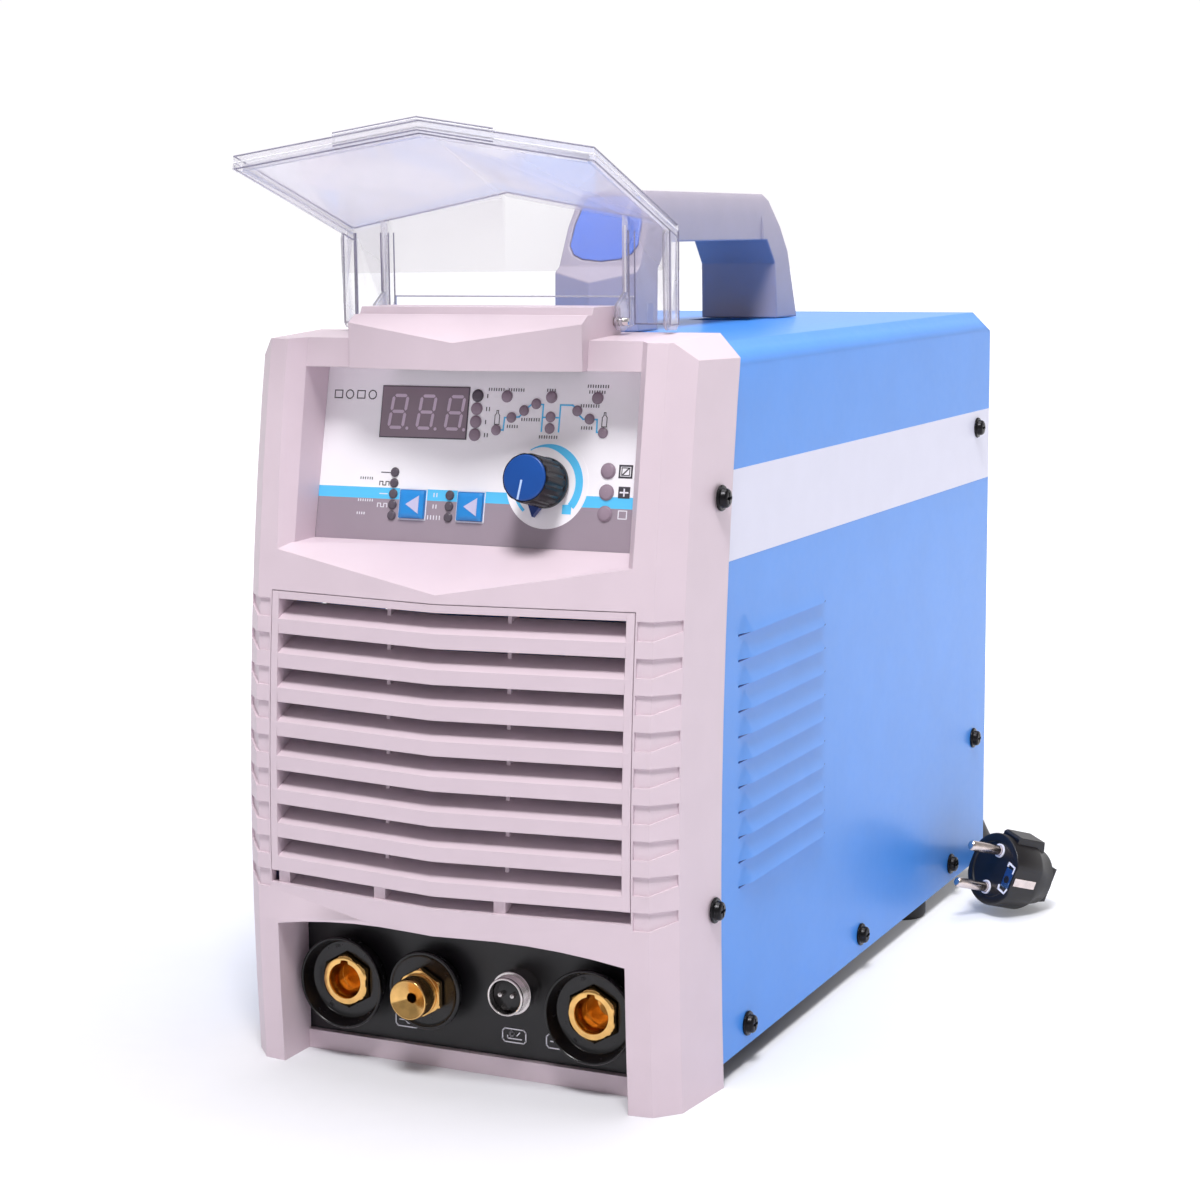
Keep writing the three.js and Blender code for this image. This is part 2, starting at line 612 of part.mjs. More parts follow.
function guardRibs() {
  const outerArm = (side) => prism([[41.5, 283.6], [43, 281.6], [49, 281.6], [50.8, 283.6],
    [50.8, 319.5], [42.5, 322.4], [40.5, 317]], "x",
  side > 0 ? 68.8 : -71, side > 0 ? 71 : -68.8);
  const innerRib = (side) => {
    const centre = side * GUARD_SIZE.ribX;
    const from = centre - 1.2;
    const web = prism([[HINGE.y - 3.2, 285.5], [HINGE.y - 3.2, 291], [42.6, 296], [42.6, 326],
      [50.2, 325], [50.2, 283.6], [HINGE.y, 281.6]], "x", from, from + 2.4);
    return joined(web, rod("x", [HINGE.y, HINGE.z], 3.6, from, from + 2.4, 20));
  };
  const holes = rod("x", [HINGE.y, HINGE.z], HINGE.pin + GAP, -60, 60, 16);
  return cutBy(joined(both(outerArm), both(innerRib)), holes);
}

function clearCover() {
  return joined(guardLeaf(), guardWall(), guardRibs());
}

function hingePin(side) {
  const [from, to] = side > 0 ? [46, 55.4] : [-55.4, -46];
  return rod("x", [HINGE.y, HINGE.z], HINGE.pin, from, to, 16);
}

// Socket bay ------------------------------------------------------------------------------
function socketPanel() {
  const y = BAY.panelY;
  const plate = prism([[-78, 0], [78, 0], [78, 52], [40, 59], [-40, 59], [-78, 52]],
    "y", y + GAP, y + 1.8);
  const holes = both((side) => rod("y", [side * SOCKETS.dinseX, SOCKETS.dinseZ], 14, 0, 20, 24));
  return cutBy(plate, holes,
    rod("y", [SOCKETS.torchX, SOCKETS.torchZ], 8, 0, 20, 20),
    rod("y", [SOCKETS.aviationX, SOCKETS.aviationZ], 7.6, 0, 20, 20));
}

// A cup-shaped flange that narrows towards the panel: rim radius, its front, its waist radius.
function flange(spot, radius, front, waist) {
  const back = BAY.panelY - 0.1;
  return turned([[0, front], [radius - 0.4, front], [radius, front + 0.6], [radius, front + 2],
    [waist, back], [0, back]], "y", spot, 40);
}

function dinseInsulator(side) {
  const spot = [side * SOCKETS.dinseX, SOCKETS.dinseZ];
  const body = joined(flange(spot, 18.6, -1, 15), rod("y", spot, 13.6, 5, 24, 24));
  const dish = turned([[0, -4], [17.7, -4], [17.5, 0.4], [15.6, 4.6], [0, 4.6]], "y", spot, 32);
  const hexSeat = rod("y", spot, 11.6, -4, 40, 6);
  return cutBy(body, dish, hexSeat);
}

function dinseSocket(side) {
  const spot = [side * SOCKETS.dinseX, SOCKETS.dinseZ];
  const hex = rod("y", spot, 11.2, 3.2, 27, 6);
  const nose = rod("y", spot, 9.6, 2.2, 6, 32);
  const bore = rod("y", spot, 6.9, -4, 23, 24);
  const cam = box(spot[0] - 1.6, spot[0] + 1.6, -4, 10, spot[1] + 5, spot[1] + 8.4);
  return cutBy(joined(hex, nose), bore, cam);
}

function torchInsulator() {
  const spot = [SOCKETS.torchX, SOCKETS.torchZ];
  const body = joined(flange(spot, 15.9, 0.8, 12.4), rod("y", spot, 7.6, 9, 20, 20));
  return cutBy(body, rod("y", spot, 6.3, -4, 40, 20));
}

function torchNozzle() {
  const spot = [SOCKETS.torchX, SOCKETS.torchZ];
  const body = joined(rod("y", spot, 10, -2.6, 0.5, 6), rod("y", spot, 6, 0, 30, 24),
    rod("y", spot, 8, -12, -2, 32));
  const funnel = turned([[0, -8.6], [2, -8.6], [7.5, -12], [7.5, -14], [0, -14]], "y", spot, 24);
  return cutBy(body, funnel, rod("y", spot, 2, -20, 31, 16));
}

function aviationShell() {
  const spot = [SOCKETS.aviationX, SOCKETS.aviationZ];
  const body = joined(rod("y", spot, 7.6, -5, 1, 32), rod("y", spot, 8.6, 0.3, 3.3, 32),
    rod("y", spot, 8, 3, BAY.panelY - 0.1, 32), rod("y", spot, 7.2, 9, 22, 24));
  return cutBy(body, rod("y", spot, 6.9, -10, 1.3, 28), rod("y", spot, 6.3, 0, 40, 28));
}

function aviationInsert() {
  const spot = [SOCKETS.aviationX, SOCKETS.aviationZ];
  return joined(rod("y", spot, 6.6, -3.6, 1, 28), rod("y", spot, 6, 0, 20, 28));
}

// Case ------------------------------------------------------------------------------------
// One louvre hood: [outward, along, up] corners of a hipped wedge.
function louvre(side, low, sink, drop) {
  const face = COVER.half - sink;
  const corners = [[0, 57.5, 7.2], [0, 142, 7.2], [0, 50.5, -drop], [0, 148, -drop], [2.7, 60, -drop],
    [2.7, 138.5, -drop]].map(([out, y, up]) => new THREE.Vector3(side * (face + out), y, low + up));
  const [t1, t2, b1, b2, l1, l2] = corners;
  return loft([[b1, t1, l1], [b2, t2, l2]]);
}

function coverShell() {
  const { half, top, chamfer, sheet, front, back } = COVER;
  const outer = prism(shoulderOutline(half, top, chamfer, 0), "y", 10, back)
    .intersect(behindBow(front));
  const inner = prism(shoulderOutline(half - sheet, top - sheet, chamfer - 0.5, -5),
    "y", 0, back + 5);
  const hoods = [];
  const slots = [];
  for (let i = 0; i < 11; i += 1) {
    const low = 166 - i * 9.92;
    for (const side of [-1, 1]) {
      hoods.push(louvre(side, low, 0, 0));
      slots.push(louvre(side, low, 1.3, 0.6));
    }
  }
  const handleSlots = [box(-16, 14, 261, 283, 270, 290), box(-14, 14, 151, 160, 270, 290)];
  return cutBy(joined(cutBy(outer, inner), hoods), slots, handleSlots, sideScrewHoles(false));
}

function baseChassis() {
  const floor = box(-93.4, 93.4, 29, 379.7, 0.2, 1.7);
  const apron = box(-88, 88, BAY.panelY + 2.4, 30, 0.2, 1.7);
  const flanges = both((side) => box(side > 0 ? 91.9 : -93.4, side > 0 ? 93.4 : -91.9,
    29, 379.7, 0.2, 17));
  const vents = levels(120, 300, 9).map((y) => box(-40, 40, y - 2, y + 2, -2, 4));
  return cutBy(joined(floor, apron, flanges), vents, sideScrewHoles(false));
}

function rearPanel() {
  const plate = prism(shoulderOutline(93.4, 275.4, 8.4, 2), "y", 380, 381.6);
  return cutBy(plate,
    rod("y", [FAN.x, FAN.z], FAN.bore, 370, 390, 40),
    box(-63.2, -48.8, 370, 390, 228.8, 251.2),
    rod("y", [62, 40], 6.4, 370, 390, 20),
    rod("y", [LEAD.glandX, LEAD.glandZ], 8.2, 370, 390, 20),
    rod("y", [0, 34], 3.4, 370, 390, 14));
}

function foot(x, y) {
  return turned([[0, FLOOR], [11.4, FLOOR], [12.4, FLOOR + 1.5], [12.4, -GAP - 0.1], [0, -GAP - 0.1]],
    "z", [x, y], 24);
}

function carryHandle() {
  const { base, crown, foot, prow, slope } = HANDLE;
  const outline = new THREE.Shape([[prow, foot], [prow, 297.7], ...slope,
    [280, 335.2], [301.5, 308.5], [312, foot], [286, foot], [284.5, 303],
    [275, 314], [160, 314], [149, 303], [147, foot]]
    .map(([y, z]) => new THREE.Vector2(y, z)));
  const side = solidOf(alongAxis(new THREE.ExtrudeGeometry(
    outline, { depth: 60, bevelEnabled: false }).translate(0, 0, -30), "x"));
  const front = prism([[-base, 270], [base, 270], [base - 1, 320], [crown, 332], [crown - 3.5, 337],
    [3.5 - crown, 337], [-crown, 332], [1 - base, 320]], "y", 100, 330);
  const gripWaist = both((s) => box(s > 0 ? 17.6 : -30, s > 0 ? 30 : -17.6, 165, 270, 300, 340));
  const cheeks = both((s) => prism([[0, prow], [s * 25, prow - 9], [s * 25, prow + 9]],
    "z", 270, 310));
  return cutBy(side.intersect(front), gripWaist, cheeks, trimPlate(0, 1.8));
}

// Coloured insert let into the sloping front of the handle, from its face down to a depth.
function trimPlate(gap, depth) {
  const [[footY, footZ], [headY, headZ]] = HANDLE.slope;
  const length = Math.hypot(headY - footY, headZ - footZ);
  const inward = [(headZ - footZ) / length, (footY - headY) / length];
  const at = ([y, z], sink) => [y + inward[0] * sink, z + inward[1] * sink];
  const face = gap ? 0 : -4;
  const slab = prism([at([footY, footZ], face), at([headY, headZ], face),
    at([headY, headZ], depth), at([footY, footZ], depth)], "x", -30, 30);
  const right = TRIM.map(([x, z]) => [x - gap, z + (z < 320 ? gap : -gap)]);
  const left = right.map(([x, z]) => [-x, z]).reverse();
  return slab.intersect(prism([[0, TRIM_FOOT + gap], ...right, ...left], "y", 90, 200));
}

function handleTrim() {
  return trimPlate(GAP, 1.8 - GAP);
}

// Rear fittings ---------------------------------------------------------------------------
function fanFrame() {
  const { x, z, half, bore, back, depth } = FAN;
  const from = back - depth;
  const shell = cutBy(box(x - half, x + half, from, back, z - half, z + half),
    rod("y", [x, z], bore, from - 2, back + 2, 40));
  const struts = [0, 1, 2, 3].map((i) => {
    const bar = box(-bore - 1, -18, from, from + 3, -2, 2);
    return turnedAboutY(bar, Math.PI / 4 + (i * Math.PI) / 2).translate([x, 0, z]);
  });
  const hub = rod("y", [x, z], 19, from, from + 3, 24);
  const spindle = rod("y", [x, z], 2, from + 2, from + 14, 12);
  return joined(shell, struts, hub, spindle);
}

function turnedAboutY(solid, angle) {
  return solidOf(geometryOf(solid).rotateY(angle));
}

function fanRotor() {
  const { x, z, bore, back, depth } = FAN;
  const from = back - depth + 3.6;
  const hub = rod("y", [0, 0], 18.5, from, back - 3, 24);
  const blade = loft([[17, 0.62], [34, 0.5], [bore - 5.5, 0.38]].map(([r, pitch]) => {
    const [dy, dx] = [6.8, 13 + r * 0.12];
    return [[-dx, -dy * 0.9], [dx, dy * pitch + 4], [dx, dy * pitch + 5.6], [-dx, -dy * 0.9 + 1.6]]
      .map(([u, v]) => new THREE.Vector3(u, from + 9.5 + v, r));
  }));
  const blades = Array.from({ length: 7 }, (_, i) => turnedAboutY(blade, (i * 2 * Math.PI) / 7));
  const bore2 = rod("y", [0, 0], 2.4, from - 2, from + 12, 12);
  return cutBy(joined(hub, blades), bore2).translate([x, 0, z]);
}

function fanGuard() {
  const { x, z } = FAN;
  const y = 384;
  const rings = [18, 32, 45, 57].map((radius) => {
    const torus = new THREE.TorusGeometry(radius, 1, 5, 28);
    return solidOf(torus.rotateX(Math.PI / 2).translate(0, y, 0));
  });
  const bars = [0, 1, 2, 3].map((i) => turnedAboutY(
    box(17, 60, y + 0.2, y + 1.8, -1, 1), Math.PI / 4 + (i * Math.PI) / 2));
  const tabs = [0, 1, 2, 3].map((i) => turnedAboutY(
    box(57.5, 74, 381.9, y + 1.6, -3.6, 3.6), Math.PI / 4 + (i * Math.PI) / 2));
  return joined(rings, bars, tabs).translate([x, 0, z]);
}

function switchBody() {
  const bezel = box(-65, -47, 381.9, 384.4, 226.6, 253.4);
  const barrel = box(-62.9, -49.1, 366, 382.4, 229.1, 250.9);
  const well = box(-61.6, -50.4, 374, 390, 231, 249);
  return cutBy(joined(bezel, barrel), well);
}

const ROCKER = { x: -56, y: 380, z: 240, tilt: 12 };

function switchRocker() {
  const { x, y, z, tilt } = ROCKER;
  const level = [[-3, -3.4], [2.2, -7.6], [5, -7.6], [4.2, 0], [5, 7.6], [2.2, 7.6], [-3, 3.4]];
  const [c, s] = [Math.cos(tilt * Math.PI / 180), Math.sin(tilt * Math.PI / 180)];
  return prism(level.map(([v, w]) => [y + v * c - w * s, z + v * s + w * c]), "x", x - 5.2, x + 5.2);
}

function gasInlet() {
  const spot = [62, 40];
  const barbs = turned([[0, 386], [4.6, 386], [4.6, 389], [5.4, 389.4], [4.2, 393], [5.4, 393.4],
    [4.2, 397], [5.2, 397.4], [3.6, 402], [0, 402]], "y", spot, 20);
  const flange = rod("y", spot, 9, 381.9, 387, 6);
  const tail = rod("y", spot, 6, 360, 382.4, 20);
  return cutBy(joined(barbs, flange, tail), rod("y", spot, 2.2, 350, 410, 14));
}

function earthStud() {
  const spot = [0, 34];
  return joined(rod("y", spot, 3, 374, 396, 14), rod("y", spot, 6, 381.9, 386.4, 6),
    rod("y", spot, 6, 388.4, 391.4, 6));
}

function cableGland() {
  const spot = [LEAD.glandX, LEAD.glandZ];
  const body = joined(rod("y", spot, 8, 370, 382.4, 24), rod("y", spot, 10.6, 381.9, 386.6, 6),
    rod("y", spot, 9.2, 386, 391, 24));
  const sleeve = turned([[0, 390], [8.4, 390], [7, 398], [6.4, 412], [0, 412]], "y", spot, 24);
  const bore = rod("y", spot, LEAD.diameter / 2 + GAP, 360, 420, 16);
  return cutBy(joined(body, sleeve), bore);
}

// Mains lead, lying on the floor -------------------------------------------------------------
function mainsLead() {
  const { glandX: x, glandZ: z } = LEAD;
  return hose([[x, 412.4, z], [x, 418, z - 0.6], [x, 424, z - 2.2], [x, 430, z - 4.6],
    [x, 435.4, z - 7.4]], LEAD.diameter, 10);
}

function mainsLeadCoil() {
  const { x, y, mean, band, height } = COIL;
  const low = FLOOR + 0.05;
  return turned([[mean - band, low], [mean + band, low], [mean + band, low + height],
    [mean - band, low + height], [mean - band, low]], "z", [x, y], 48);
}

// The stretch from the plug round to the coil.
function mainsLeadTail() {
  const start = alongExit(40);
  return hose([start.toArray(), [114.4, 362.4, 3.2], [109, 374, -0.4], [102, 387, -2.6],
    [93.5, 401, -2.8], [84, 418, -1], [73, 440, 3.6], [60.2, 465, 7]], LEAD.diameter, 24);
}

// A point inside the plug's body, or further out along the way its cable leaves it.
function alongExit(distance) {
  const heading = new THREE.Vector3(...PLUG.heading).normalize();
  const root = new THREE.Vector3(...PLUG.face).addScaledVector(heading, -14);
  return root.addScaledVector(new THREE.Vector3(...PLUG.exit).normalize(), distance);
}

// Turns a solid whose +x and +z are given directions, and moves it to a place.
function oriented(solid, xAxis, zHint, place) {
  const x = xAxis.clone().normalize();
  const y = zHint.clone().cross(x).normalize();
  const turn = new THREE.Matrix4().makeBasis(x, y, x.clone().cross(y)).setPosition(place);
  return solidOf(geometryOf(solid).applyMatrix4(turn));
}

function mainsPlug() {
  const { radius: r, pinPitch, pinLength } = PLUG;
  const barrel = turned([[0, 0], [r - 0.8, 0], [r, 0.8], [r, 17], [r - 3.5, 24], [r - 4.5, 28],
    [0, 28]], "x", [0, 0], 32);
  const backRidge = box(22, 32, -3, 3, -12.5, 12.5);
  const pins = both((side) => turned([[0, -pinLength], [1.4, -pinLength], [2.4, 1.4 - pinLength],
    [2.4, 0.5], [0, 0.5]], "x", [0, (side * pinPitch) / 2], 14));
  const heading = new THREE.Vector3(...PLUG.heading);
  const body = oriented(joined(barrel, backRidge, pins), heading.clone().negate(),
    new THREE.Vector3(...PLUG.pinLine), new THREE.Vector3(...PLUG.face));
  const boot = oriented(turned([[0, 0], [8, 0], [8, 18], [6.6, 38.8], [0, 38.8]], "x", [0, 0], 20),
    new THREE.Vector3(...PLUG.exit), new THREE.Vector3(0, 0, 1), alongExit(0));
  return cutBy(joined(body, boot), box(0, 300, 200, 500, -60, FLOOR + 0.05));
}

// Inside the case ---------------------------------------------------------------------------
function mainBoard() {
  return box(-84, 84, 96, 330, 72, 73.6);
}

function heatSink(side) {
  const x0 = side > 0 ? 8 : -62;
  const base = box(x0, x0 + 54, 186, 320, 74, 80);
  const fins = levels(x0 + 1, x0 + 53, 8).map((x) => box(x - 0.9, x + 0.9, 186, 320, 79, 120));
  return joined(base, fins);
}

function transformerCore() {
  const block = box(-72, -16, 112, 154, 74, 130);
  return cutBy(block, box(-62, -50, 90, 170, 86, 118), box(-38, -26, 90, 170, 86, 118));
}

function transformerWinding() {
  const outer = box(-61.6, -26.4, 106, 160, 86.4, 117.6);
  return cutBy(outer, box(-50.3, -37.7, 111.7, 154.3, 80, 130));
}

function outputChoke() {
  return turned([[11, 2], [28, 2], [30, 4], [30, 26], [28, 28], [11, 28], [9, 26], [9, 4], [11, 2]],
    "z", [-30, 250], 28);
}

function capacitor(x, y) {
  return turned([[0, 74], [14.6, 74], [15, 75], [15, 114], [14.2, 115], [0, 115]], "z", [x, y], 24);
}

function ignitionCoil() {
  return joined(box(-14, 20, 40, 66, 2, 30), rod("z", [3, 53], 10, 28, 44, 20));
}

function gasValve() {
  return joined(box(50, 74, 301, 330, 28, 52), rod("z", [62, 315], 9, 50, 61, 20),
    rod("y", [62, 40], 5, 329, 352, 14));
}

function valveLink() {
  return rod("y", [62, 40], 4.5, 352.3, 359.7, 16);
}

function gasHose() {
  return hose([[62, 299.7, 40], [62, 286, 38], [64, 262, 26], [66, 220, 12], [62, 150, 8],
    [40, 104, 8], [4, 88, 12], [-22, 78, 20], [-30, 62, 25], [-23, 46, 25.6],
    [SOCKETS.torchX, 37, SOCKETS.torchZ], [SOCKETS.torchX, 30.4, SOCKETS.torchZ]], 8, 48);
}

function inverterFrame() {
  const rails = both((side) => box(side > 0 ? 82 : -84, side > 0 ? 84 : -82, 96, 340, 2, 71.7));
  const tie = [100, 336].map((y) => box(-84, 84, y, y + 2, 62, 71.7));
  return joined(rails, tie);
}

// Assembly --------------------------------------------------------------------------------
const machine = new THREE.Group();

function part(name, solid, material) {
  const mesh = new THREE.Mesh(geometryOf(solid), material);
  mesh.name = name;
  machine.add(mesh);
}

part("front_bezel", frontBezel(), PALE_PLASTIC);
part("grille_insert", grilleInsert(), PALE_PLASTIC);
part("control_panel", controlPanel(), OVERLAY);
part("display_window", displayWindow(), SMOKED);
part("display_module", displayModule(), BLACK_PLASTIC);
part("control_board", controlBoard(), BOARD_GREEN);
part("current_pot", potBody(), NICKEL);
part("pot_shaft", potShaft(), NICKEL);
part("knob_grip", knobSkirt(), BLACK_PLASTIC);
part("knob_cap", knobCap(), BLUE_PLASTIC);
part("button_left", pushButton(BUTTONS.left), BLUE_PLASTIC);
part("button_right", pushButton(BUTTONS.right), BLUE_PLASTIC);
part("tact_switch_left", tactSwitch(BUTTONS.left), BLACK_PLASTIC);
part("tact_switch_right", tactSwitch(BUTTONS.right), BLACK_PLASTIC);
part("clear_cover", clearCover(), CLEAR_PLASTIC);
part("hinge_pin_left", hingePin(-1), NICKEL);
part("hinge_pin_right", hingePin(1), NICKEL);
part("socket_panel", socketPanel(), BLACK_PAINT);
part("dinse_insulator_left", dinseInsulator(-1), BLACK_PLASTIC);
part("dinse_insulator_right", dinseInsulator(1), BLACK_PLASTIC);
part("dinse_socket_left", dinseSocket(-1), BRASS);
part("dinse_socket_right", dinseSocket(1), BRASS);
part("torch_insulator", torchInsulator(), BLACK_PLASTIC);
part("torch_nozzle", torchNozzle(), BRASS);
part("trigger_socket_shell", aviationShell(), NICKEL);
part("trigger_socket_insert", aviationInsert(), BLACK_PLASTIC);
part("cover_shell", coverShell(), BLUE_PAINT);
part("base_chassis", baseChassis(), BLACK_PAINT);
part("rear_panel", rearPanel(), BLACK_PAINT);
part("carry_handle", carryHandle(), GREY_PLASTIC);
part("handle_trim", handleTrim(), BLUE_PLASTIC);
part("fan_frame", fanFrame(), BLACK_PLASTIC);
part("fan_rotor", fanRotor(), BLACK_PLASTIC);
part("fan_guard", fanGuard(), NICKEL);
part("switch_body", switchBody(), BLACK_PLASTIC);
part("switch_rocker", switchRocker(), BLACK_PLASTIC);
part("gas_inlet", gasInlet(), BRASS);
part("earth_stud", earthStud(), BRASS);
part("cable_gland", cableGland(), BLACK_PLASTIC);
part("mains_lead", mainsLead(), RUBBER);
part("mains_lead_coil", mainsLeadCoil(), RUBBER);
part("mains_lead_tail", mainsLeadTail(), RUBBER);
part("mains_plug", mainsPlug(), BLACK_PLASTIC);
part("foot_left", foot(-82, 288.5), RUBBER);
part("foot_right", foot(82, 288.5), RUBBER);
part("inverter_frame", inverterFrame(), ALUMINIUM);
part("main_board", mainBoard(), BOARD_GREEN);
part("heat_sink_left", heatSink(-1), ALUMINIUM);
part("heat_sink_right", heatSink(1), ALUMINIUM);
part("transformer_core", transformerCore(), FERRITE);
part("transformer_winding", transformerWinding(), COPPER);
part("output_choke", outputChoke(), COPPER);
part("capacitor_front", capacitor(44, 124), BLACK_PLASTIC);
part("capacitor_rear", capacitor(44, 160), BLACK_PLASTIC);
part("ignition_coil", ignitionCoil(), FERRITE);
part("gas_valve", gasValve(), BRASS);
part("valve_link", valveLink(), HOSE);
part("gas_hose", gasHose(), HOSE);

const middle = 190.96;
machine.position.set(0, -middle, -FLOOR);

export default machine;
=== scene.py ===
"""Looks for a portable TIG welding machine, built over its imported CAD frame.

Lengths inside this script are millimetres of the design: z = 0 is the cover's lower edge and
y = 0 lies just behind the rims of the weld sockets. at() turns them into the frame's metres.
"""
import math

import bpy
from mathutils import Matrix, Vector


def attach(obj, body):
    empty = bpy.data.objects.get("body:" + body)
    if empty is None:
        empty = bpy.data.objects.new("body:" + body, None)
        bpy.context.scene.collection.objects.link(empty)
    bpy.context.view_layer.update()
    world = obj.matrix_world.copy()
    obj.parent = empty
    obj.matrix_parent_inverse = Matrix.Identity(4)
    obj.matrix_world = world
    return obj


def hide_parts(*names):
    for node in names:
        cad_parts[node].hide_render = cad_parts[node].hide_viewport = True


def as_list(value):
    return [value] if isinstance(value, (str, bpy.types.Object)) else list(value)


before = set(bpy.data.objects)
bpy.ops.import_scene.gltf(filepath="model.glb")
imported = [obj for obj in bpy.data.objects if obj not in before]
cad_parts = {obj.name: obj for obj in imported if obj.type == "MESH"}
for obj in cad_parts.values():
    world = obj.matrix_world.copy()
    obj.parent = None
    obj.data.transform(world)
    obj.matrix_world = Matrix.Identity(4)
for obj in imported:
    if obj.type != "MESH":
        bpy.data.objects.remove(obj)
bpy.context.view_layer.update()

MM = 0.001
MIDDLE = 190.96
FLOOR = -8.0
PANEL_FOOT = (17.0, 200.0)
PANEL_HEAD = (31.6, 267.6)


def at(x, y, z):
    """A design point in millimetres, as a point of the frame in metres."""
    return Vector((x, y - MIDDLE, z - FLOOR)) * MM


# Camera and stage ------------------------------------------------------------------------

CAMERA_PLACE = (442.5, -801.2, 319.1)
CAMERA_AZIMUTH = 25.46
CAMERA_ELEVATION = 8.62
CAMERA_ROLL = -0.55
CAMERA_LENS = 73.14


def make_camera():
    azimuth, elevation = math.radians(CAMERA_AZIMUTH), math.radians(CAMERA_ELEVATION)
    roll = math.radians(CAMERA_ROLL)
    flat = math.cos(elevation)
    ahead = Vector((-math.sin(azimuth) * flat, math.cos(azimuth) * flat, -math.sin(elevation)))
    level = ahead.cross(Vector((0, 0, 1))).normalized()
    rise = level.cross(ahead)
    right = level * math.cos(roll) + rise * math.sin(roll)
    up = rise * math.cos(roll) - level * math.sin(roll)
    data = bpy.data.cameras.new("camera")
    data.sensor_width = 36
    data.lens = CAMERA_LENS
    data.clip_end = 20
    camera = bpy.data.objects.new("camera", data)
    bpy.context.scene.collection.objects.link(camera)
    turn = Matrix((right, up, -ahead)).transposed()
    camera.matrix_world = Matrix.Translation(at(*CAMERA_PLACE)) @ turn.to_4x4()
    bpy.context.scene.camera = camera


# Materials -------------------------------------------------------------------------------


def srgb(*levels):
    """Linear colour of an sRGB colour given in 0 to 255."""
    def linear(level):
        share = level / 255
        return share / 12.92 if share <= 0.04045 else ((share + 0.055) / 1.055) ** 2.4
    return (*[linear(level) for level in levels], 1.0)


def new_material(name):
    material = bpy.data.materials.new(name)
    material.use_nodes = True
    return material, material.node_tree.nodes, material.node_tree.links


def coordinates(nodes):
    return nodes.new("ShaderNodeTexCoord").outputs["Object"]


def noise(nodes, links, scale, detail=2.0):
    texture = nodes.new("ShaderNodeTexNoise")
    texture.inputs["Scale"].default_value = scale
    texture.inputs["Detail"].default_value = detail
    links.new(coordinates(nodes), texture.inputs["Vector"])
    return texture.outputs["Fac"]


def ramp(nodes, links, source, low, high, from_=0.35, to=0.65):
    blend = nodes.new("ShaderNodeValToRGB")
    blend.color_ramp.elements[0].position = from_
    blend.color_ramp.elements[0].color = low
    blend.color_ramp.elements[1].position = to
    blend.color_ramp.elements[1].color = high
    links.new(source, blend.inputs["Fac"])
    return blend.outputs["Color"]


def uneven_gloss(nodes, links, scale, detail, low, high):
    """Roughness that wanders between two levels."""
    level = nodes.new("ShaderNodeMapRange")
    level.inputs["To Min"].default_value = low
    level.inputs["To Max"].default_value = high
    links.new(noise(nodes, links, scale, detail), level.inputs["Value"])
    links.new(level.outputs["Result"], nodes["Principled BSDF"].inputs["Roughness"])


def bumped(nodes, links, height, depth, strength, edge):
    """A bump of the given height, over edges that look rounded by edge millimetres."""
    bump = nodes.new("ShaderNodeBump")
    bump.inputs["Strength"].default_value = strength
    bump.inputs["Distance"].default_value = depth * MM
    links.new(height, bump.inputs["Height"])
    if edge:
        soft = nodes.new("ShaderNodeBevel")
        soft.samples = 4
        soft.inputs["Radius"].default_value = edge * MM
        links.new(soft.outputs["Normal"], bump.inputs["Normal"])
    links.new(bump.outputs["Normal"], nodes["Principled BSDF"].inputs["Normal"])


ROUGH_SPREAD = 0.08


def shaded(color, factor):
    return (*[min(1.0, level * factor) for level in color[:3]], 1.0)


def surface(name, color, rough, metal=0.0, spread=0.04, patch=60, fine=2500, depth=0.02, edge=0.4,
            coat=0.0):
    """A solid finish: slight patches of colour, uneven gloss, fine grain, softened edges."""
    material, nodes, links = new_material(name)
    shader = nodes["Principled BSDF"]
    shader.inputs["Metallic"].default_value = metal
    shader.inputs["Coat Weight"].default_value = coat
    shader.inputs["Coat Roughness"].default_value = 0.12
    patches = noise(nodes, links, patch)
    links.new(ramp(nodes, links, patches, shaded(color, 1 - spread), shaded(color, 1 + spread)),
              shader.inputs["Base Color"])
    uneven_gloss(nodes, links, patch * 7, 4.0, rough - ROUGH_SPREAD / 2, rough + ROUGH_SPREAD / 2)
    bumped(nodes, links, noise(nodes, links, fine, 3.0), depth, 1.0, edge)
    return material


def turned_metal(name, color, rough):
    """Bright lathe-turned metal: fine rings about the machine's front-to-back direction."""
    material, nodes, links = new_material(name)
    shader = nodes["Principled BSDF"]
    shader.inputs["Metallic"].default_value = 1.0
    patches = noise(nodes, links, 300)
    links.new(ramp(nodes, links, patches, shaded(color, 0.88), shaded(color, 1.05)),
              shader.inputs["Base Color"])
    uneven_gloss(nodes, links, 900, 4.0, rough * 0.7, rough * 1.4)
    rings = nodes.new("ShaderNodeTexWave")
    rings.bands_direction = "Y"
    rings.inputs["Scale"].default_value = 900
    rings.inputs["Distortion"].default_value = 0.5
    links.new(coordinates(nodes), rings.inputs["Vector"])
    bumped(nodes, links, rings.outputs["Fac"], 0.01, 0.12, 0.25)
    return material


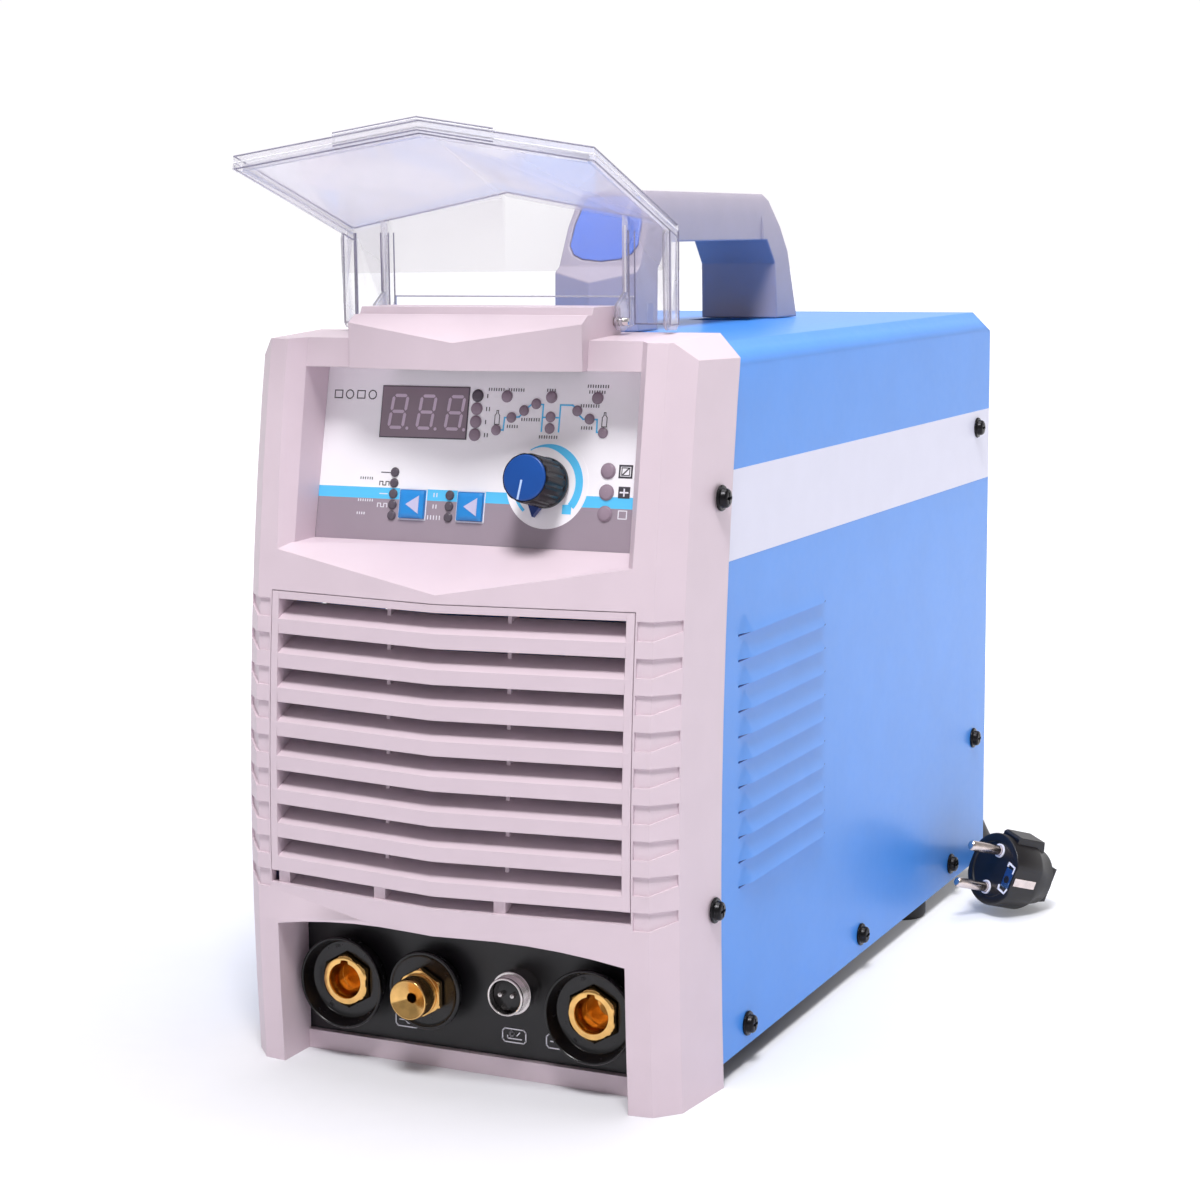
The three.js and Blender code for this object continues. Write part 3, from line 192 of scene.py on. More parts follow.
def clear_plastic(name):
    """Thin clear plastic: nearly open face on, milky towards its edges, with faint flow marks."""
    material, nodes, links = new_material(name)
    shader = nodes["Principled BSDF"]
    shader.inputs["Coat Weight"].default_value = 0.6
    shader.inputs["Coat Roughness"].default_value = 0.03
    patches = noise(nodes, links, 25)
    links.new(ramp(nodes, links, patches, srgb(224, 221, 236), srgb(232, 230, 242)),
              shader.inputs["Base Color"])
    uneven_gloss(nodes, links, 500, 6.0, 0.04, 0.14)
    bumped(nodes, links, noise(nodes, links, 40, 3.0), 0.05, 0.25, 0.3)
    facing = nodes.new("ShaderNodeLayerWeight")
    facing.inputs["Blend"].default_value = 0.45
    cover = nodes.new("ShaderNodeMapRange")
    cover.inputs["To Min"].default_value = 0.05
    cover.inputs["To Max"].default_value = 0.75
    links.new(facing.outputs["Facing"], cover.inputs["Value"])
    links.new(cover.outputs["Result"], shader.inputs["Alpha"])
    return material


def lit_floor(name):
    """Pale studio floor whose far end glows, as a floor does that curves up into a lit backdrop."""
    material = surface(name, srgb(222, 222, 227), 0.75, spread=0.004, edge=0)
    nodes, links = material.node_tree.nodes, material.node_tree.links
    shader = nodes["Principled BSDF"]
    distance = nodes.new("ShaderNodeVectorMath")
    distance.operation = "DOT_PRODUCT"
    distance.inputs[1].default_value = (0, 1, 0)
    links.new(coordinates(nodes), distance.inputs[0])
    glow = nodes.new("ShaderNodeMapRange")
    glow.inputs["From Min"].default_value = -0.1
    glow.inputs["From Max"].default_value = 1.0
    glow.inputs["To Max"].default_value = 0.9
    links.new(distance.outputs["Value"], glow.inputs["Value"])
    shader.inputs["Emission Color"].default_value = (1, 1, 1, 1)
    links.new(glow.outputs["Result"], shader.inputs["Emission Strength"])
    return material


PALE = surface("pale_plastic", srgb(216, 198, 208), 0.42, spread=0.012, fine=3200, depth=0.012)
BLUE = surface("blue_powder_coat", srgb(64, 142, 232), 0.4, spread=0.02, patch=30, fine=1500,
               depth=0.012, edge=0.6, coat=0.1)
# dark blue of the louvre openings, also used as painted shade below the hood lips
GAP_AND_SHADE_BLUE = surface("louvre_gap_and_painted_shade", srgb(30, 66, 140), 0.5, spread=0.04, edge=0)
STRIPE = surface("pale_stripe_print", srgb(220, 220, 238), 0.4, spread=0.01, depth=0.006, edge=0)
BLACK_METAL = surface("black_powder_coat", srgb(22, 21, 24), 0.38, spread=0.1, fine=1800, depth=0.02)
BLACK = surface("black_plastic", srgb(14, 12, 15), 0.26, spread=0.08, depth=0.015, edge=0.35)
SATIN_BLACK = surface("satin_black_plastic", srgb(30, 26, 30), 0.42, spread=0.08, depth=0.03)
SCREW_BLACK = surface("black_oxide_steel", srgb(30, 29, 32), 0.28, metal=0.7, spread=0.2, edge=0.2)
GREY = surface("grey_plastic", srgb(166, 158, 174), 0.4, spread=0.02, fine=2600, depth=0.02, edge=1.0)
TRIM_BLUE = surface("blue_gloss_plastic", srgb(70, 118, 220), 0.22, spread=0.03, depth=0.004, edge=0.5)
CAP_BLUE = surface("knob_cap_blue", srgb(18, 74, 152), 0.32, spread=0.04, depth=0.01, edge=0.5)
BUTTON_BLUE = surface("button_blue", srgb(40, 138, 214), 0.3, spread=0.05, depth=0.006, edge=0.8)
PRINT_WHITE = surface("panel_white", srgb(252, 249, 254), 0.38, spread=0.006, depth=0.006, edge=0)
PRINT_CYAN = surface("panel_cyan", srgb(92, 200, 250), 0.38, spread=0.01, depth=0.006, edge=0)
PRINT_GREY = surface("panel_grey", srgb(158, 144, 156), 0.38, spread=0.015, depth=0.006, edge=0)
PRINT_DARK = surface("panel_dark_ink", srgb(70, 66, 74), 0.4, spread=0.05, depth=0.004, edge=0)
PRINT_PALE = surface("panel_pale_ink", srgb(236, 234, 242), 0.4, spread=0.02, depth=0.004, edge=0)
LENS_GREY = surface("indicator_lens", srgb(150, 132, 146), 0.18, spread=0.08, depth=0.004, edge=0.3)
LENS_DARK = surface("indicator_lens_dark", srgb(88, 80, 90), 0.18, spread=0.1, depth=0.004, edge=0.3)
SMOKED = surface("smoked_window", srgb(142, 126, 137), 0.12, spread=0.03, depth=0.003, edge=0.2)
INDEX_PALE = surface("button_arrow_print", srgb(200, 195, 225), 0.35, spread=0.02, depth=0.004, edge=0)
INDEX_BLUE = surface("knob_index_blue", srgb(180, 205, 245), 0.35, spread=0.02, depth=0.004, edge=0)
NAVY = surface("pointer_navy", srgb(20, 50, 120), 0.3, spread=0.04, depth=0.004, edge=0.3)
SEGMENT = surface("unlit_segment", srgb(204, 186, 204), 0.3, spread=0.04, depth=0.003, edge=0)
BRASS = turned_metal("turned_brass", (0.86, 0.52, 0.18, 1.0), 0.16)
NICKEL = turned_metal("nickel_plate", (0.74, 0.7, 0.69, 1.0), 0.2)
PLUG_BLACK = surface("plug_black", srgb(15, 11, 14), 0.4, spread=0.1, depth=0.02, edge=0.5)
CLIP_METAL = surface("plug_clip_recess", (0.05, 0.12, 0.26, 1.0), 0.25, metal=0.8, spread=0.1)
# painted shade and painted highlight colours for the clear cover's edge rods
CLEAR_PAINTED_DARK_EDGE = surface("clear_cover_painted_dark_edge", srgb(150, 146, 168), 0.12, spread=0.05, depth=0.01, edge=0)
CLEAR_PAINTED_HIGHLIGHT = surface("clear_cover_painted_highlight_edge", srgb(250, 249, 255), 0.1, spread=0.01, depth=0.01,
                       edge=0)
for material, alpha in ((CLEAR_PAINTED_DARK_EDGE, 0.75), (CLEAR_PAINTED_HIGHLIGHT, 0.85)):
    material.node_tree.nodes["Principled BSDF"].inputs["Alpha"].default_value = alpha
PIN_METAL = turned_metal("plug_pin_nickel", (0.72, 0.62, 0.58, 1.0), 0.2)
ALUMINIUM = surface("extruded_aluminium", (0.62, 0.63, 0.66, 1.0), 0.38, metal=1.0, depth=0.02)
COPPER = surface("copper_winding", (0.6, 0.24, 0.09, 1.0), 0.34, metal=0.9, spread=0.2, fine=900)
FERRITE = surface("ferrite_block", srgb(52, 52, 56), 0.75, spread=0.12, depth=0.05)
BOARD = surface("solder_mask", srgb(24, 98, 56), 0.35, spread=0.12, patch=120)
RUBBER = surface("black_rubber", srgb(30, 29, 31), 0.62, spread=0.12, fine=1200, depth=0.05)
CABLE = surface("cable_jacket", srgb(34, 33, 36), 0.5, spread=0.1, fine=900, depth=0.04, edge=0)
CLEAR = clear_plastic("clear_cover_plastic")
FLOOR_PAINT = lit_floor("studio_floor")


# Mesh helpers ----------------------------------------------------------------------------


def piece(name, points, faces, material, body="machine", sharp=32, place=at):
    """A mesh piece from design points and faces, riding on a body."""
    mesh = bpy.data.meshes.new(name)
    mesh.from_pydata([place(*point) for point in points], [], faces)
    mesh.validate()
    mesh.shade_smooth()
    mesh.set_sharp_from_angle(angle=math.radians(sharp))
    mesh.materials.append(material)
    obj = bpy.data.objects.new(name, mesh)
    bpy.context.scene.collection.objects.link(obj)
    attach(obj, body)
    return obj


def panel_direction():
    run, rise = PANEL_HEAD[0] - PANEL_FOOT[0], PANEL_HEAD[1] - PANEL_FOOT[1]
    length = math.hypot(run, rise)
    return run / length, rise / length


def on_panel(u, v, w):
    """A point u right, v up and w out from the foot of the control panel's face."""
    run, rise = panel_direction()
    return at(u, PANEL_FOOT[0] + run * v - rise * w, PANEL_FOOT[1] + rise * v + run * w)


def joined(parts):
    """Several pairs of points and faces, as one pair."""
    points, faces = [], []
    for more, sides in parts:
        faces += [tuple(len(points) + k for k in side) for side in sides]
        points += more
    return points, faces


def slab(outline, low, high):
    """Points and faces of an outline of (u, v) pairs, between two levels of w."""
    count = len(outline)
    points = [(u, v, low) for u, v in outline] + [(u, v, high) for u, v in outline]
    faces = [tuple(reversed(range(count))), tuple(range(count, 2 * count))]
    for i in range(count):
        j = (i + 1) % count
        faces.append((i, j, count + j, count + i))
    return points, faces


def printed(name, outlines, material, low=-0.1, high=0.05, body="machine", place=on_panel):
    """Flat printed shapes, all in one piece."""
    points, faces = joined(slab(outline, low, high) for outline in outlines)
    return piece(name, points, faces, material, body, place=place)


def circle(u, v, radius, count=32):
    angles = [2 * math.pi * i / count for i in range(count)]
    return [(u + radius * math.cos(angle), v + radius * math.sin(angle)) for angle in angles]


def bar(u0, v0, u1, v1, width):
    """A straight line of the given width as an outline."""
    length = math.hypot(u1 - u0, v1 - v0)
    a, b = (v1 - v0) / length * width / 2, -(u1 - u0) / length * width / 2
    return [(u0 - a, v0 - b), (u0 + a, v0 + b), (u1 + a, v1 + b), (u1 - a, v1 - b)][::-1]


def polyline(points, width):
    bars = []
    for (u0, v0), (u1, v1) in zip(points, points[1:]):
        length = math.hypot(u1 - u0, v1 - v0)
        a, b = (u1 - u0) / length * width / 2, (v1 - v0) / length * width / 2
        bars.append(bar(u0 - a, v0 - b, u1 + a, v1 + b, width))
    return bars


def arc(u, v, radius, width, from_, to, steps=40):
    """A broad arc; angles in degrees clockwise from straight up."""
    angles = [math.radians(from_ + (to - from_) * i / steps) for i in range(steps + 1)]
    outer = [(u + (radius + width / 2) * math.sin(a), v + (radius + width / 2) * math.cos(a))
             for a in angles]
    inner = [(u + (radius - width / 2) * math.sin(a), v + (radius - width / 2) * math.cos(a))
             for a in angles]
    return [[outer[i + 1], outer[i], inner[i], inner[i + 1]] for i in range(steps)]


def box_outline(u, v, width, height, line):
    a, b = width / 2, height / 2
    corners = [(u - a, v - b), (u + a, v - b), (u + a, v + b), (u - a, v + b), (u - a, v - b)]
    return polyline(corners, line)


def hexagon(radius):
    """A ring's radius function: a hexagon with this radius at its corners."""
    def radius_at(angle):
        part = (angle - math.pi / 6) % (math.pi / 3) - math.pi / 6
        return radius * math.cos(math.pi / 6) / math.cos(part)
    return radius_at


def chamfered(radius, limit):
    """A hexagon whose corners are turned down to a limit."""
    return lambda angle: min(hexagon(radius)(angle), limit)


def slotted(radius, deeper, half_width):
    """A ring's radius function: a bore with one keyway at the top."""
    def radius_at(angle):
        away = abs((angle - math.pi / 2 + math.pi) % (2 * math.pi) - math.pi)
        return deeper if away < half_width else radius
    return radius_at


def spun(rings, count=72):
    """Points and faces of rings about an axis: each ring is (radius or radius function, depth)."""
    points = []
    for radius, depth in rings:
        for i in range(count):
            angle = 2 * math.pi * i / count
            reach = radius(angle) if callable(radius) else radius
            points.append((reach * math.cos(angle), reach * math.sin(angle), depth))
    faces = []
    for r in range(len(rings) - 1):
        for i in range(count):
            j = (i + 1) % count
            faces.append((r * count + i, r * count + j, (r + 1) * count + j, (r + 1) * count + i))
    return points, faces


def about_y(x, z):
    """Places (u, v, w) on an axis that runs back through x, z: w is the depth y."""
    return lambda u, v, w: at(x + u, w, z + v)


def node_look(name, material, rounding=0.0, sharp=30):
    """Gives a carried-over CAD node its finish, and edges rounded by so many millimetres."""
    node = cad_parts[name]
    mesh = node.data
    mesh.materials.clear()
    mesh.materials.append(material)
    normals = mesh.attributes.get("custom_normal")
    if normals:
        mesh.attributes.remove(normals)
    mesh.shade_smooth()
    weld = node.modifiers.new("weld", "WELD")
    weld.merge_threshold = 0.00002
    flat = node.modifiers.new("flat", "DECIMATE")
    flat.decimate_type = "DISSOLVE"
    flat.angle_limit = math.radians(0.2)
    if rounding:
        bevel = node.modifiers.new("bevel", "BEVEL")
        bevel.width = rounding * MM
        bevel.segments = 2
        bevel.limit_method = "ANGLE"
        bevel.angle_limit = math.radians(sharp)
        bevel.use_clamp_overlap = True
        bevel.harden_normals = True
    normal = node.modifiers.new("normal", "WEIGHTED_NORMAL")
    normal.keep_sharp = True
    if not rounding:
        mesh.set_sharp_from_angle(angle=math.radians(sharp))


# Mains lead ------------------------------------------------------------------------------

LEAD_DIAMETER = 10.0
GLAND = (-74.0, 412.4, 15.0)
COIL_CENTRE = (-12.0, 472.0)
COIL_RADII = (62.0, 52.0, 42.0)
COIL_TURNS = 5.423
LAYER_LOW = FLOOR + LEAD_DIAMETER / 2 + 0.05
LAYER_HIGH = LAYER_LOW + LEAD_DIAMETER
TAIL = [(60.2, 465, 7), (73, 440, 3.6), (84, 418, -1), (93.5, 401, -2.8), (102, 387, -2.6),
        (109, 374, -0.4), (114.4, 362.4, 3.2), (117.1, 354.1, 5.6), (118.4, 350.3, 6.1)]


def ease(share):
    share = min(1.0, max(0.0, share))
    return share * share * (3 - 2 * share)


def coil_radius(turn):
    """Radius after so many turns: inwards on the floor, then outwards on top."""
    outer, mid, inner = COIL_RADII
    if turn < 2.4:
        steps = [(0.4, outer - mid), (1.4, mid - inner), (2.0, 2.0)]
        return outer - sum(drop * min(1, max(0, (turn - start) / 0.6)) for start, drop in steps)
    steps = [(2.7, 2.0), (3.42, mid - inner), (4.42, outer - mid)]
    return inner - 2 + sum(rise * min(1, max(0, (turn - start) / 0.58)) for start, rise in steps)


def coil_points(per_turn=36):
    points = []
    count = round(COIL_TURNS * per_turn)
    for i in range(count + 1):
        turn = COIL_TURNS * i / count
        angle = math.pi - 2 * math.pi * turn
        radius = coil_radius(turn)
        z = LAYER_LOW + (LAYER_HIGH - LAYER_LOW) * ease((turn - 2.35) / 0.5)
        points.append((COIL_CENTRE[0] + radius * math.cos(angle),
                       COIL_CENTRE[1] + radius * math.sin(angle), z))
    return points


def lead_points():
    x, y, z = GLAND
    run = COIL_CENTRE[1] - y
    drop = z - LAYER_LOW
    return [(x, y - 4 + (run + 4) * i / 16, z - drop * ease(((run + 4) * i / 16 - 4) / run))
            for i in range(16)]


def softened(points, passes=2):
    for _ in range(passes):
        inside = [tuple((a + 2 * b + c) / 4 for a, b, c in zip(p, q, r))
                  for p, q, r in zip(points, points[1:], points[2:])]
        points = [points[0], *inside, points[-1]]
    return points


def spread_out(points, step=6.0):
    """The same line with points at most a step apart."""
    made = [points[0]]
    for a, b in zip(points, points[1:]):
        count = max(1, math.ceil(math.dist(a, b) / step))
        made += [tuple(p + (q - p) * i / count for p, q in zip(a, b)) for i in range(1, count + 1)]
    return made


def make_lead():
    tail = softened(spread_out([coil_points()[-1], *TAIL], 7), 5)
    points = softened(lead_points() + coil_points() + tail[1:], 2)
    curve = bpy.data.curves.new("mains_lead_run", "CURVE")
    curve.dimensions = "3D"
    spline = curve.splines.new("POLY")
    spline.points.add(len(points) - 1)
    for target, point in zip(spline.points, points):
        target.co = (*at(*point), 1)
    spline.use_smooth = True
    curve.bevel_depth = LEAD_DIAMETER / 2 * MM
    curve.bevel_resolution = 5
    curve.use_fill_caps = True
    curve.materials.append(CABLE)
    lead = bpy.data.objects.new("mains_lead_run", curve)
    bpy.context.scene.collection.objects.link(lead)
    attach(lead, "machine")
    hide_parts("mains_lead", "mains_lead_coil", "mains_lead_tail")
    return lead


make_camera()
lead = make_lead()


# Floor, light ------------------------------------------------------------------------------


FLOOR_RADIUS = 40


def make_stage():
    rim = [(x, y, 0) for x, y in circle(0, 0, FLOOR_RADIUS, 60)]
    mesh = bpy.data.meshes.new("studio_floor")
    mesh.from_pydata(rim, [], [tuple(range(len(rim)))])
    mesh.materials.append(FLOOR_PAINT)
    floor = bpy.data.objects.new("studio_floor", mesh)
    bpy.context.scene.collection.objects.link(floor)


def area_light(name, place, aim, size, power):
    data = bpy.data.lights.new(name, "AREA")
    data.shape = "RECTANGLE"
    data.size, data.size_y = size
    data.energy = power
    lamp = bpy.data.objects.new(name, data)
    lamp.location = place
    direction = Vector(aim) - Vector(place)
    lamp.rotation_euler = direction.to_track_quat("-Z", "Y").to_euler()
    bpy.context.scene.collection.objects.link(lamp)


def make_light():
    """A white backdrop behind, a dimmer room in front and above, and softboxes overhead."""
    world = bpy.data.worlds.new("studio")
    world.use_nodes = True
    nodes, links = world.node_tree.nodes, world.node_tree.links
    background = nodes["Background"]
    background.inputs["Color"].default_value = (1.0, 0.985, 1.0, 1)
    direction = nodes.new("ShaderNodeTexCoord")
    height = nodes.new("ShaderNodeVectorMath")
    height.operation = "DOT_PRODUCT"
    height.inputs[1].default_value = (0, -0.4, 1)
    links.new(direction.outputs["Generated"], height.inputs[0])
    strength = nodes.new("ShaderNodeMapRange")
    strength.inputs["From Min"].default_value = -0.1
    strength.inputs["From Max"].default_value = 0.35
    strength.inputs["To Min"].default_value = 1.02
    strength.inputs["To Max"].default_value = 0.33
    links.new(height.outputs["Value"], strength.inputs["Value"])
    links.new(strength.outputs["Result"], background.inputs["Strength"])
    bpy.context.scene.world = world
    area_light("key", (0.4, -1.05, 2.15), (0, -0.05, 0.15), (0.6, 0.6), 47)
    area_light("top", (0.2, 0.3, 2.2), (0, 0.1, 0.1), (1.2, 1.2), 22)
    settings = bpy.context.scene.view_settings
    settings.view_transform = "Standard"
    settings.look = "None"


make_stage()
make_light()


# Case and mouldings ----------------------------------------------------------------------

for finish, rounding, *node_names in (
        (PALE, 0.5, "front_bezel"),
        (PALE, 0.35, "grille_insert"),
        (GREY, 1.4, "carry_handle"),
        (TRIM_BLUE, 0.6, "handle_trim"),
        (CLEAR, 0, "clear_cover"),
        (BLACK_METAL, 0, "socket_panel", "base_chassis", "rear_panel"),
        (PRINT_WHITE, 0, "control_panel"),
        (SMOKED, 0, "display_window"),
        (BLACK, 0, "display_module", "capacitor_front", "capacitor_rear"),
        (BOARD, 0, "control_board", "main_board"),
        (NICKEL, 0, "hinge_pin_left", "hinge_pin_right", "current_pot", "pot_shaft", "fan_guard"),
        (SATIN_BLACK, 0.2, "tact_switch_left", "tact_switch_right", "switch_body", "switch_rocker",
         "fan_frame", "fan_rotor", "cable_gland"),
        (BRASS, 0, "gas_inlet", "earth_stud"),
        (BRASS, 0.3, "gas_valve"),
        (RUBBER, 0.4, "foot_left", "foot_right"),
        (RUBBER, 0, "valve_link", "gas_hose"),
        (ALUMINIUM, 0, "inverter_frame", "heat_sink_left", "heat_sink_right"),
        (FERRITE, 0.4, "transformer_core", "ignition_coil"),
        (COPPER, 0.6, "transformer_winding"),
        (COPPER, 0.4, "output_choke")):
    for node_name in node_names:
        node_look(node_name, finish, rounding)
node_look("cover_shell", BLUE, sharp=12)

BOW_RADIUS, BOW_HEIGHT = 1100, 62


def bow(z):
    """How far the bezel's rear edge lies back of its foremost line at height z."""
    return (z - BOW_HEIGHT) ** 2 / (2 * BOW_RADIUS)


def thin_rod(points, radius, count=6):
    """Points and faces of a thin rod along a line of design points."""
    lengths = []
    for one, two in zip(points, points[1:]):
        ahead = (Vector(two) - Vector(one)).normalized()
        across = ahead.orthogonal().normalized()
        up = ahead.cross(across)
        made = []
        for end in (one, two):
            for i in range(count):
                angle = 2 * math.pi * i / count
                out = (across * math.cos(angle) + up * math.sin(angle)) * radius
                made.append(tuple(Vector(end) + out))
        faces = [(i, (i + 1) % count, count + (i + 1) % count, count + i) for i in range(count)]
        faces += [tuple(reversed(range(count))), tuple(range(count, 2 * count))]
        lengths.append((made, faces))
    return joined(lengths)


def rods(name, lines, radius, material, body):
    points, faces = joined(thin_rod(line, radius) for line in lines)
    return piece(name, points, faces, material, body, 60)


FOLD, FOLD_MID = (51.0, 321.0), (48.5, 334.0)
FREE, FREE_MID = (-28.5, 347.5), (-19.6, 359.0)
FOLD_HALF, FREE_HALF, RIB_X = 71.0, 74.0, 52.6


def make_cover_painted_edges():
    """The clear cover's edges as thin rods: the dark rods are painted shade and the pale rods painted
    highlights, along its rims, folds and ribs.
    """
    def rim(down, forward, half=FREE_HALF):
        share = half / FREE_HALF
        y = FREE_MID[0] + (FREE[0] - FREE_MID[0]) * share - forward
        z = FREE_MID[1] + (FREE[1] - FREE_MID[1]) * share - down
        return [(-half, y, z), (0, FREE_MID[0] - forward, FREE_MID[1] - down), (half, y, z)]
    # dark rods carry painted shade, pale rods carry painted highlights
    dark = [rim(0, 0.5), rim(4.6, 0.4), rim(-1.2, 2.2, 33), rim(3.4, 2.2, 33)]
    pale = [rim(2.4, 0.7), rim(-0.6, 2.5, 33)]
    dark.append([(-FOLD_HALF, *FOLD), (0, *FOLD_MID), (FOLD_HALF, *FOLD)])
    for side in (-1, 1):
        for drop in (0, 4.6):
            dark.append([(side * FOLD_HALF, FOLD[0] - 1, FOLD[1] - drop),
                         (side * FREE_HALF, FREE[0], FREE[1] - drop)])
        pale.append([(side * (FOLD_HALF + 0.1), FOLD[0] - 1, FOLD[1] - 2.2),
                     (side * (FREE_HALF + 0.1), FREE[0], FREE[1] - 2.2)])
        uprights = [(FOLD_HALF, 50.9, 284), (FOLD_HALF, 42.6, 283.6), (FOLD_HALF - 2.2, 48.4, 284),
                    (RIB_X + 1.2, 48.6, 284), (RIB_X - 1.2, 48.6, 286), (RIB_X + 1.2, 42.6, 296)]
        dark += [[(side * x, y, low), (side * x, y, 319)] for x, y, low in uprights]
        pale.append([(side * (FOLD_HALF - 1), 50.9, 284), (side * (FOLD_HALF - 1), 50.9, 319)])
        pale.append([(side * RIB_X, 42.7, 296), (side * RIB_X, 42.7, 321)])
        dark.append([(side * FOLD_HALF, 50.9, 283.7), (side * FOLD_HALF, 42.6, 283.7)])
        dark.append([(side * RIB_X, 50.9, 283.7), (side * FOLD_HALF, 50.9, 283.7)])
    pale.append([(-RIB_X, 50.4, 294), (0, 48.3, 294), (RIB_X, 50.4, 294)])
    rods("clear_cover_painted_dark_edges", dark, 0.3, CLEAR_PAINTED_DARK_EDGE, "cover")
    rods("clear_cover_painted_highlight_edges", pale, 0.34, CLEAR_PAINTED_HIGHLIGHT, "cover")


make_cover_painted_edges()


SHEET_SIDE = 95
SCREW_SEAT = {"sheet": 95.1, "bezel": 96.4}
LOUVRES, LOUVRE_PITCH, LOUVRE_FIRST = 11, 9.92, 165.4


def make_stripe(side):
    """The pale band along the side, from the bezel's curved rear edge to the back."""
    low, high, steps = 195.2, 229.5, 6
    inside, outside = SHEET_SIDE - 0.1, SHEET_SIDE + 0.12
    points, faces = [], []
    for i in range(steps + 1):
        z = low + (high - low) * i / steps
        for x, y in ((inside, 27 + bow(z)), (outside, 27 + bow(z)), (outside, 382.6), (inside, 382.6)):
            points.append((side * x, y, z))
    for i in range(steps):
        for j in range(4):
            k = (j + 1) % 4
            faces.append((4 * i + j, 4 * i + k, 4 * i + 4 + k, 4 * i + 4 + j))
    faces += [(3, 2, 1, 0), tuple(4 * steps + j for j in range(4))]
    name = "side_stripe_right" if side > 0 else "side_stripe_left"
    piece(name, points, faces, STRIPE)


SCREW_SPOTS = {"bezel": [(31, 220.5), (24, 64.5)],
               "sheet": [(362.5, 221.3), (362.5, 65.4), (327, 9), (194.3, 9), (60.2, 9)]}


def screw_head(x, y, z, side):
    """Flanged pan head with a cross recess, its face pointing out to the side."""
    half = math.pi / 2

    def recess(angle):
        part = (angle + math.pi / 4) % half - math.pi / 4
        return min(2.3, 0.55 / max(abs(math.sin(part)), 0.2)) if abs(part) < 0.7 else 0.7
    rings = [(4.9, 0), (5.0, 0.5), (4.7, 1.0), (3.9, 1.15), (3.7, 1.5), (3.6, 2.6), (3.2, 3.2),
             (2.5, 3.5), (recess, 3.55), (lambda a: recess(a) * 0.7, 2.0), (0.02, 1.7)]
    points, faces = spun(rings, 48)
    return [(x + side * w, y + u, z + v) for u, v, w in points], faces


def make_louvre_gap_shade(side):
    """Dark rods under each louvre hood: partly the real opening, partly painted shade on the sheet just
    below the hood's lip.
    """
    name = "louvre_gap_shade_right" if side > 0 else "louvre_gap_shade_left"
    x = side * (SHEET_SIDE - 0.1)
    heights = [LOUVRE_FIRST - LOUVRE_PITCH * i for i in range(LOUVRES)]
    lines = [[(x, 51.5, z), (x, 147, z)] for z in heights]
    rods(name, lines, 0.45, GAP_AND_SHADE_BLUE, "machine")


def make_screws(side):
    points, faces = joined(screw_head(side * SCREW_SEAT[seat], y, z, side)
                           for seat, spots in SCREW_SPOTS.items() for y, z in spots)
    name = "side_screws_right" if side > 0 else "side_screws_left"
    piece(name, points, faces, SCREW_BLACK, sharp=40)


for side in (-1, 1):
    make_stripe(side)
    # dark rods under the louvres: the opening plus painted shade below each hood
    make_louvre_gap_shade(side)
    make_screws(side)


# Control panel -----------------------------------------------------------------------------

KNOB = (28.6, 24.9)
BUTTONS = {"left": -29.0, "right": -3.4}
BUTTON_UP = 14.7
FIELD = (-0.32, -0.2)
INK = (-0.22, -0.12)


def rectangle(u0, u1, v0, v1):
    return [(u0, v0), (u1, v0), (u1, v1), (u0, v1)]


def tapering_arc(u, v, outer, inner, from_, to, steps=48):
    """An arc that starts thin at its outer edge and soon reaches its full width."""
    def spot(radius, i):
        angle = math.radians(from_ + (to - from_) * i / steps)
        return u + radius * math.sin(angle), v + radius * math.cos(angle)

    def inside(i):
        return outer - 0.4 - (outer - inner - 0.4) * ease(2.2 * i / steps)
    return [[spot(outer, i + 1), spot(outer, i), spot(inside(i), i), spot(inside(i + 1), i + 1)]
            for i in range(steps)]


def make_panel_print():
    printed("panel_upper_field", [rectangle(-72.6, 72.6, 20.8, 69)], PRINT_WHITE, *FIELD)
    printed("panel_cyan_band", [rectangle(-72.6, 72.6, 16.4, 20.8)], PRINT_CYAN, *FIELD)
    printed("panel_lower_field", [rectangle(-72.6, 72.6, -1, 16.4)], PRINT_GREY, *FIELD)
    u, v = KNOB
    printed("dial_disc", [circle(u, v, 17.4, 96)], PRINT_WHITE, -0.22, -0.16)
    block = [(u + 7.2, v - 11.4), (u + 11, v - 11.4), (u + 11, v - 7.5), (u + 7.2, v - 7.9)]
    sweep = tapering_arc(u, v, 15.1, 12.0, -33, 128) + [block] + arc(u, v, 14, 1.2, 220, 241, 8)
    printed("dial_sweep", sweep, PRINT_CYAN, -0.18, -0.1)


def lamp(u, v, radius):
    rings = [(radius * 1.18, -0.1), (radius * 1.18, 0.12), (radius, 0.2), (radius * 0.96, 0.5),
             (radius * 0.7, 0.75), (radius * 0.3, 0.85), (0.02, 0.88)]
    points, faces = spun(rings, 28)
    return [(u + a, v + b, w) for a, b, w in points], faces


def make_lamps(name, spots, radius, material):
    points, faces = joined(lamp(u, v, radius) for u, v in spots)
    piece(name, points, faces, material, place=on_panel)


UNIT_LAMPS = [(-4.2, 57.8 - 5.05 * i) for i in range(4)]
GRAPH_LAMPS = [(4.9, 44.7), (11.1, 49.7), (16.3, 52.5), (21.3, 55.2), (27.8, 50.3), (27.8, 45.9),
               (38.9, 52.9), (44.3, 49.9), (50.3, 44.8)]
TOP_LAMPS = [(8.5, 57.8), (27.6, 57.9), (47.0, 57.9)]
MODE_LAMPS = [(-38.0, 27.0 - 4.25 * i) for i in range(5)]
CYCLE_LAMPS = [(-12.8, 18.8 - 4.3 * i) for i in range(3)]
ALARM_LAMPS = [(53.8, 30.5 - 8.1 * i) for i in range(3)]


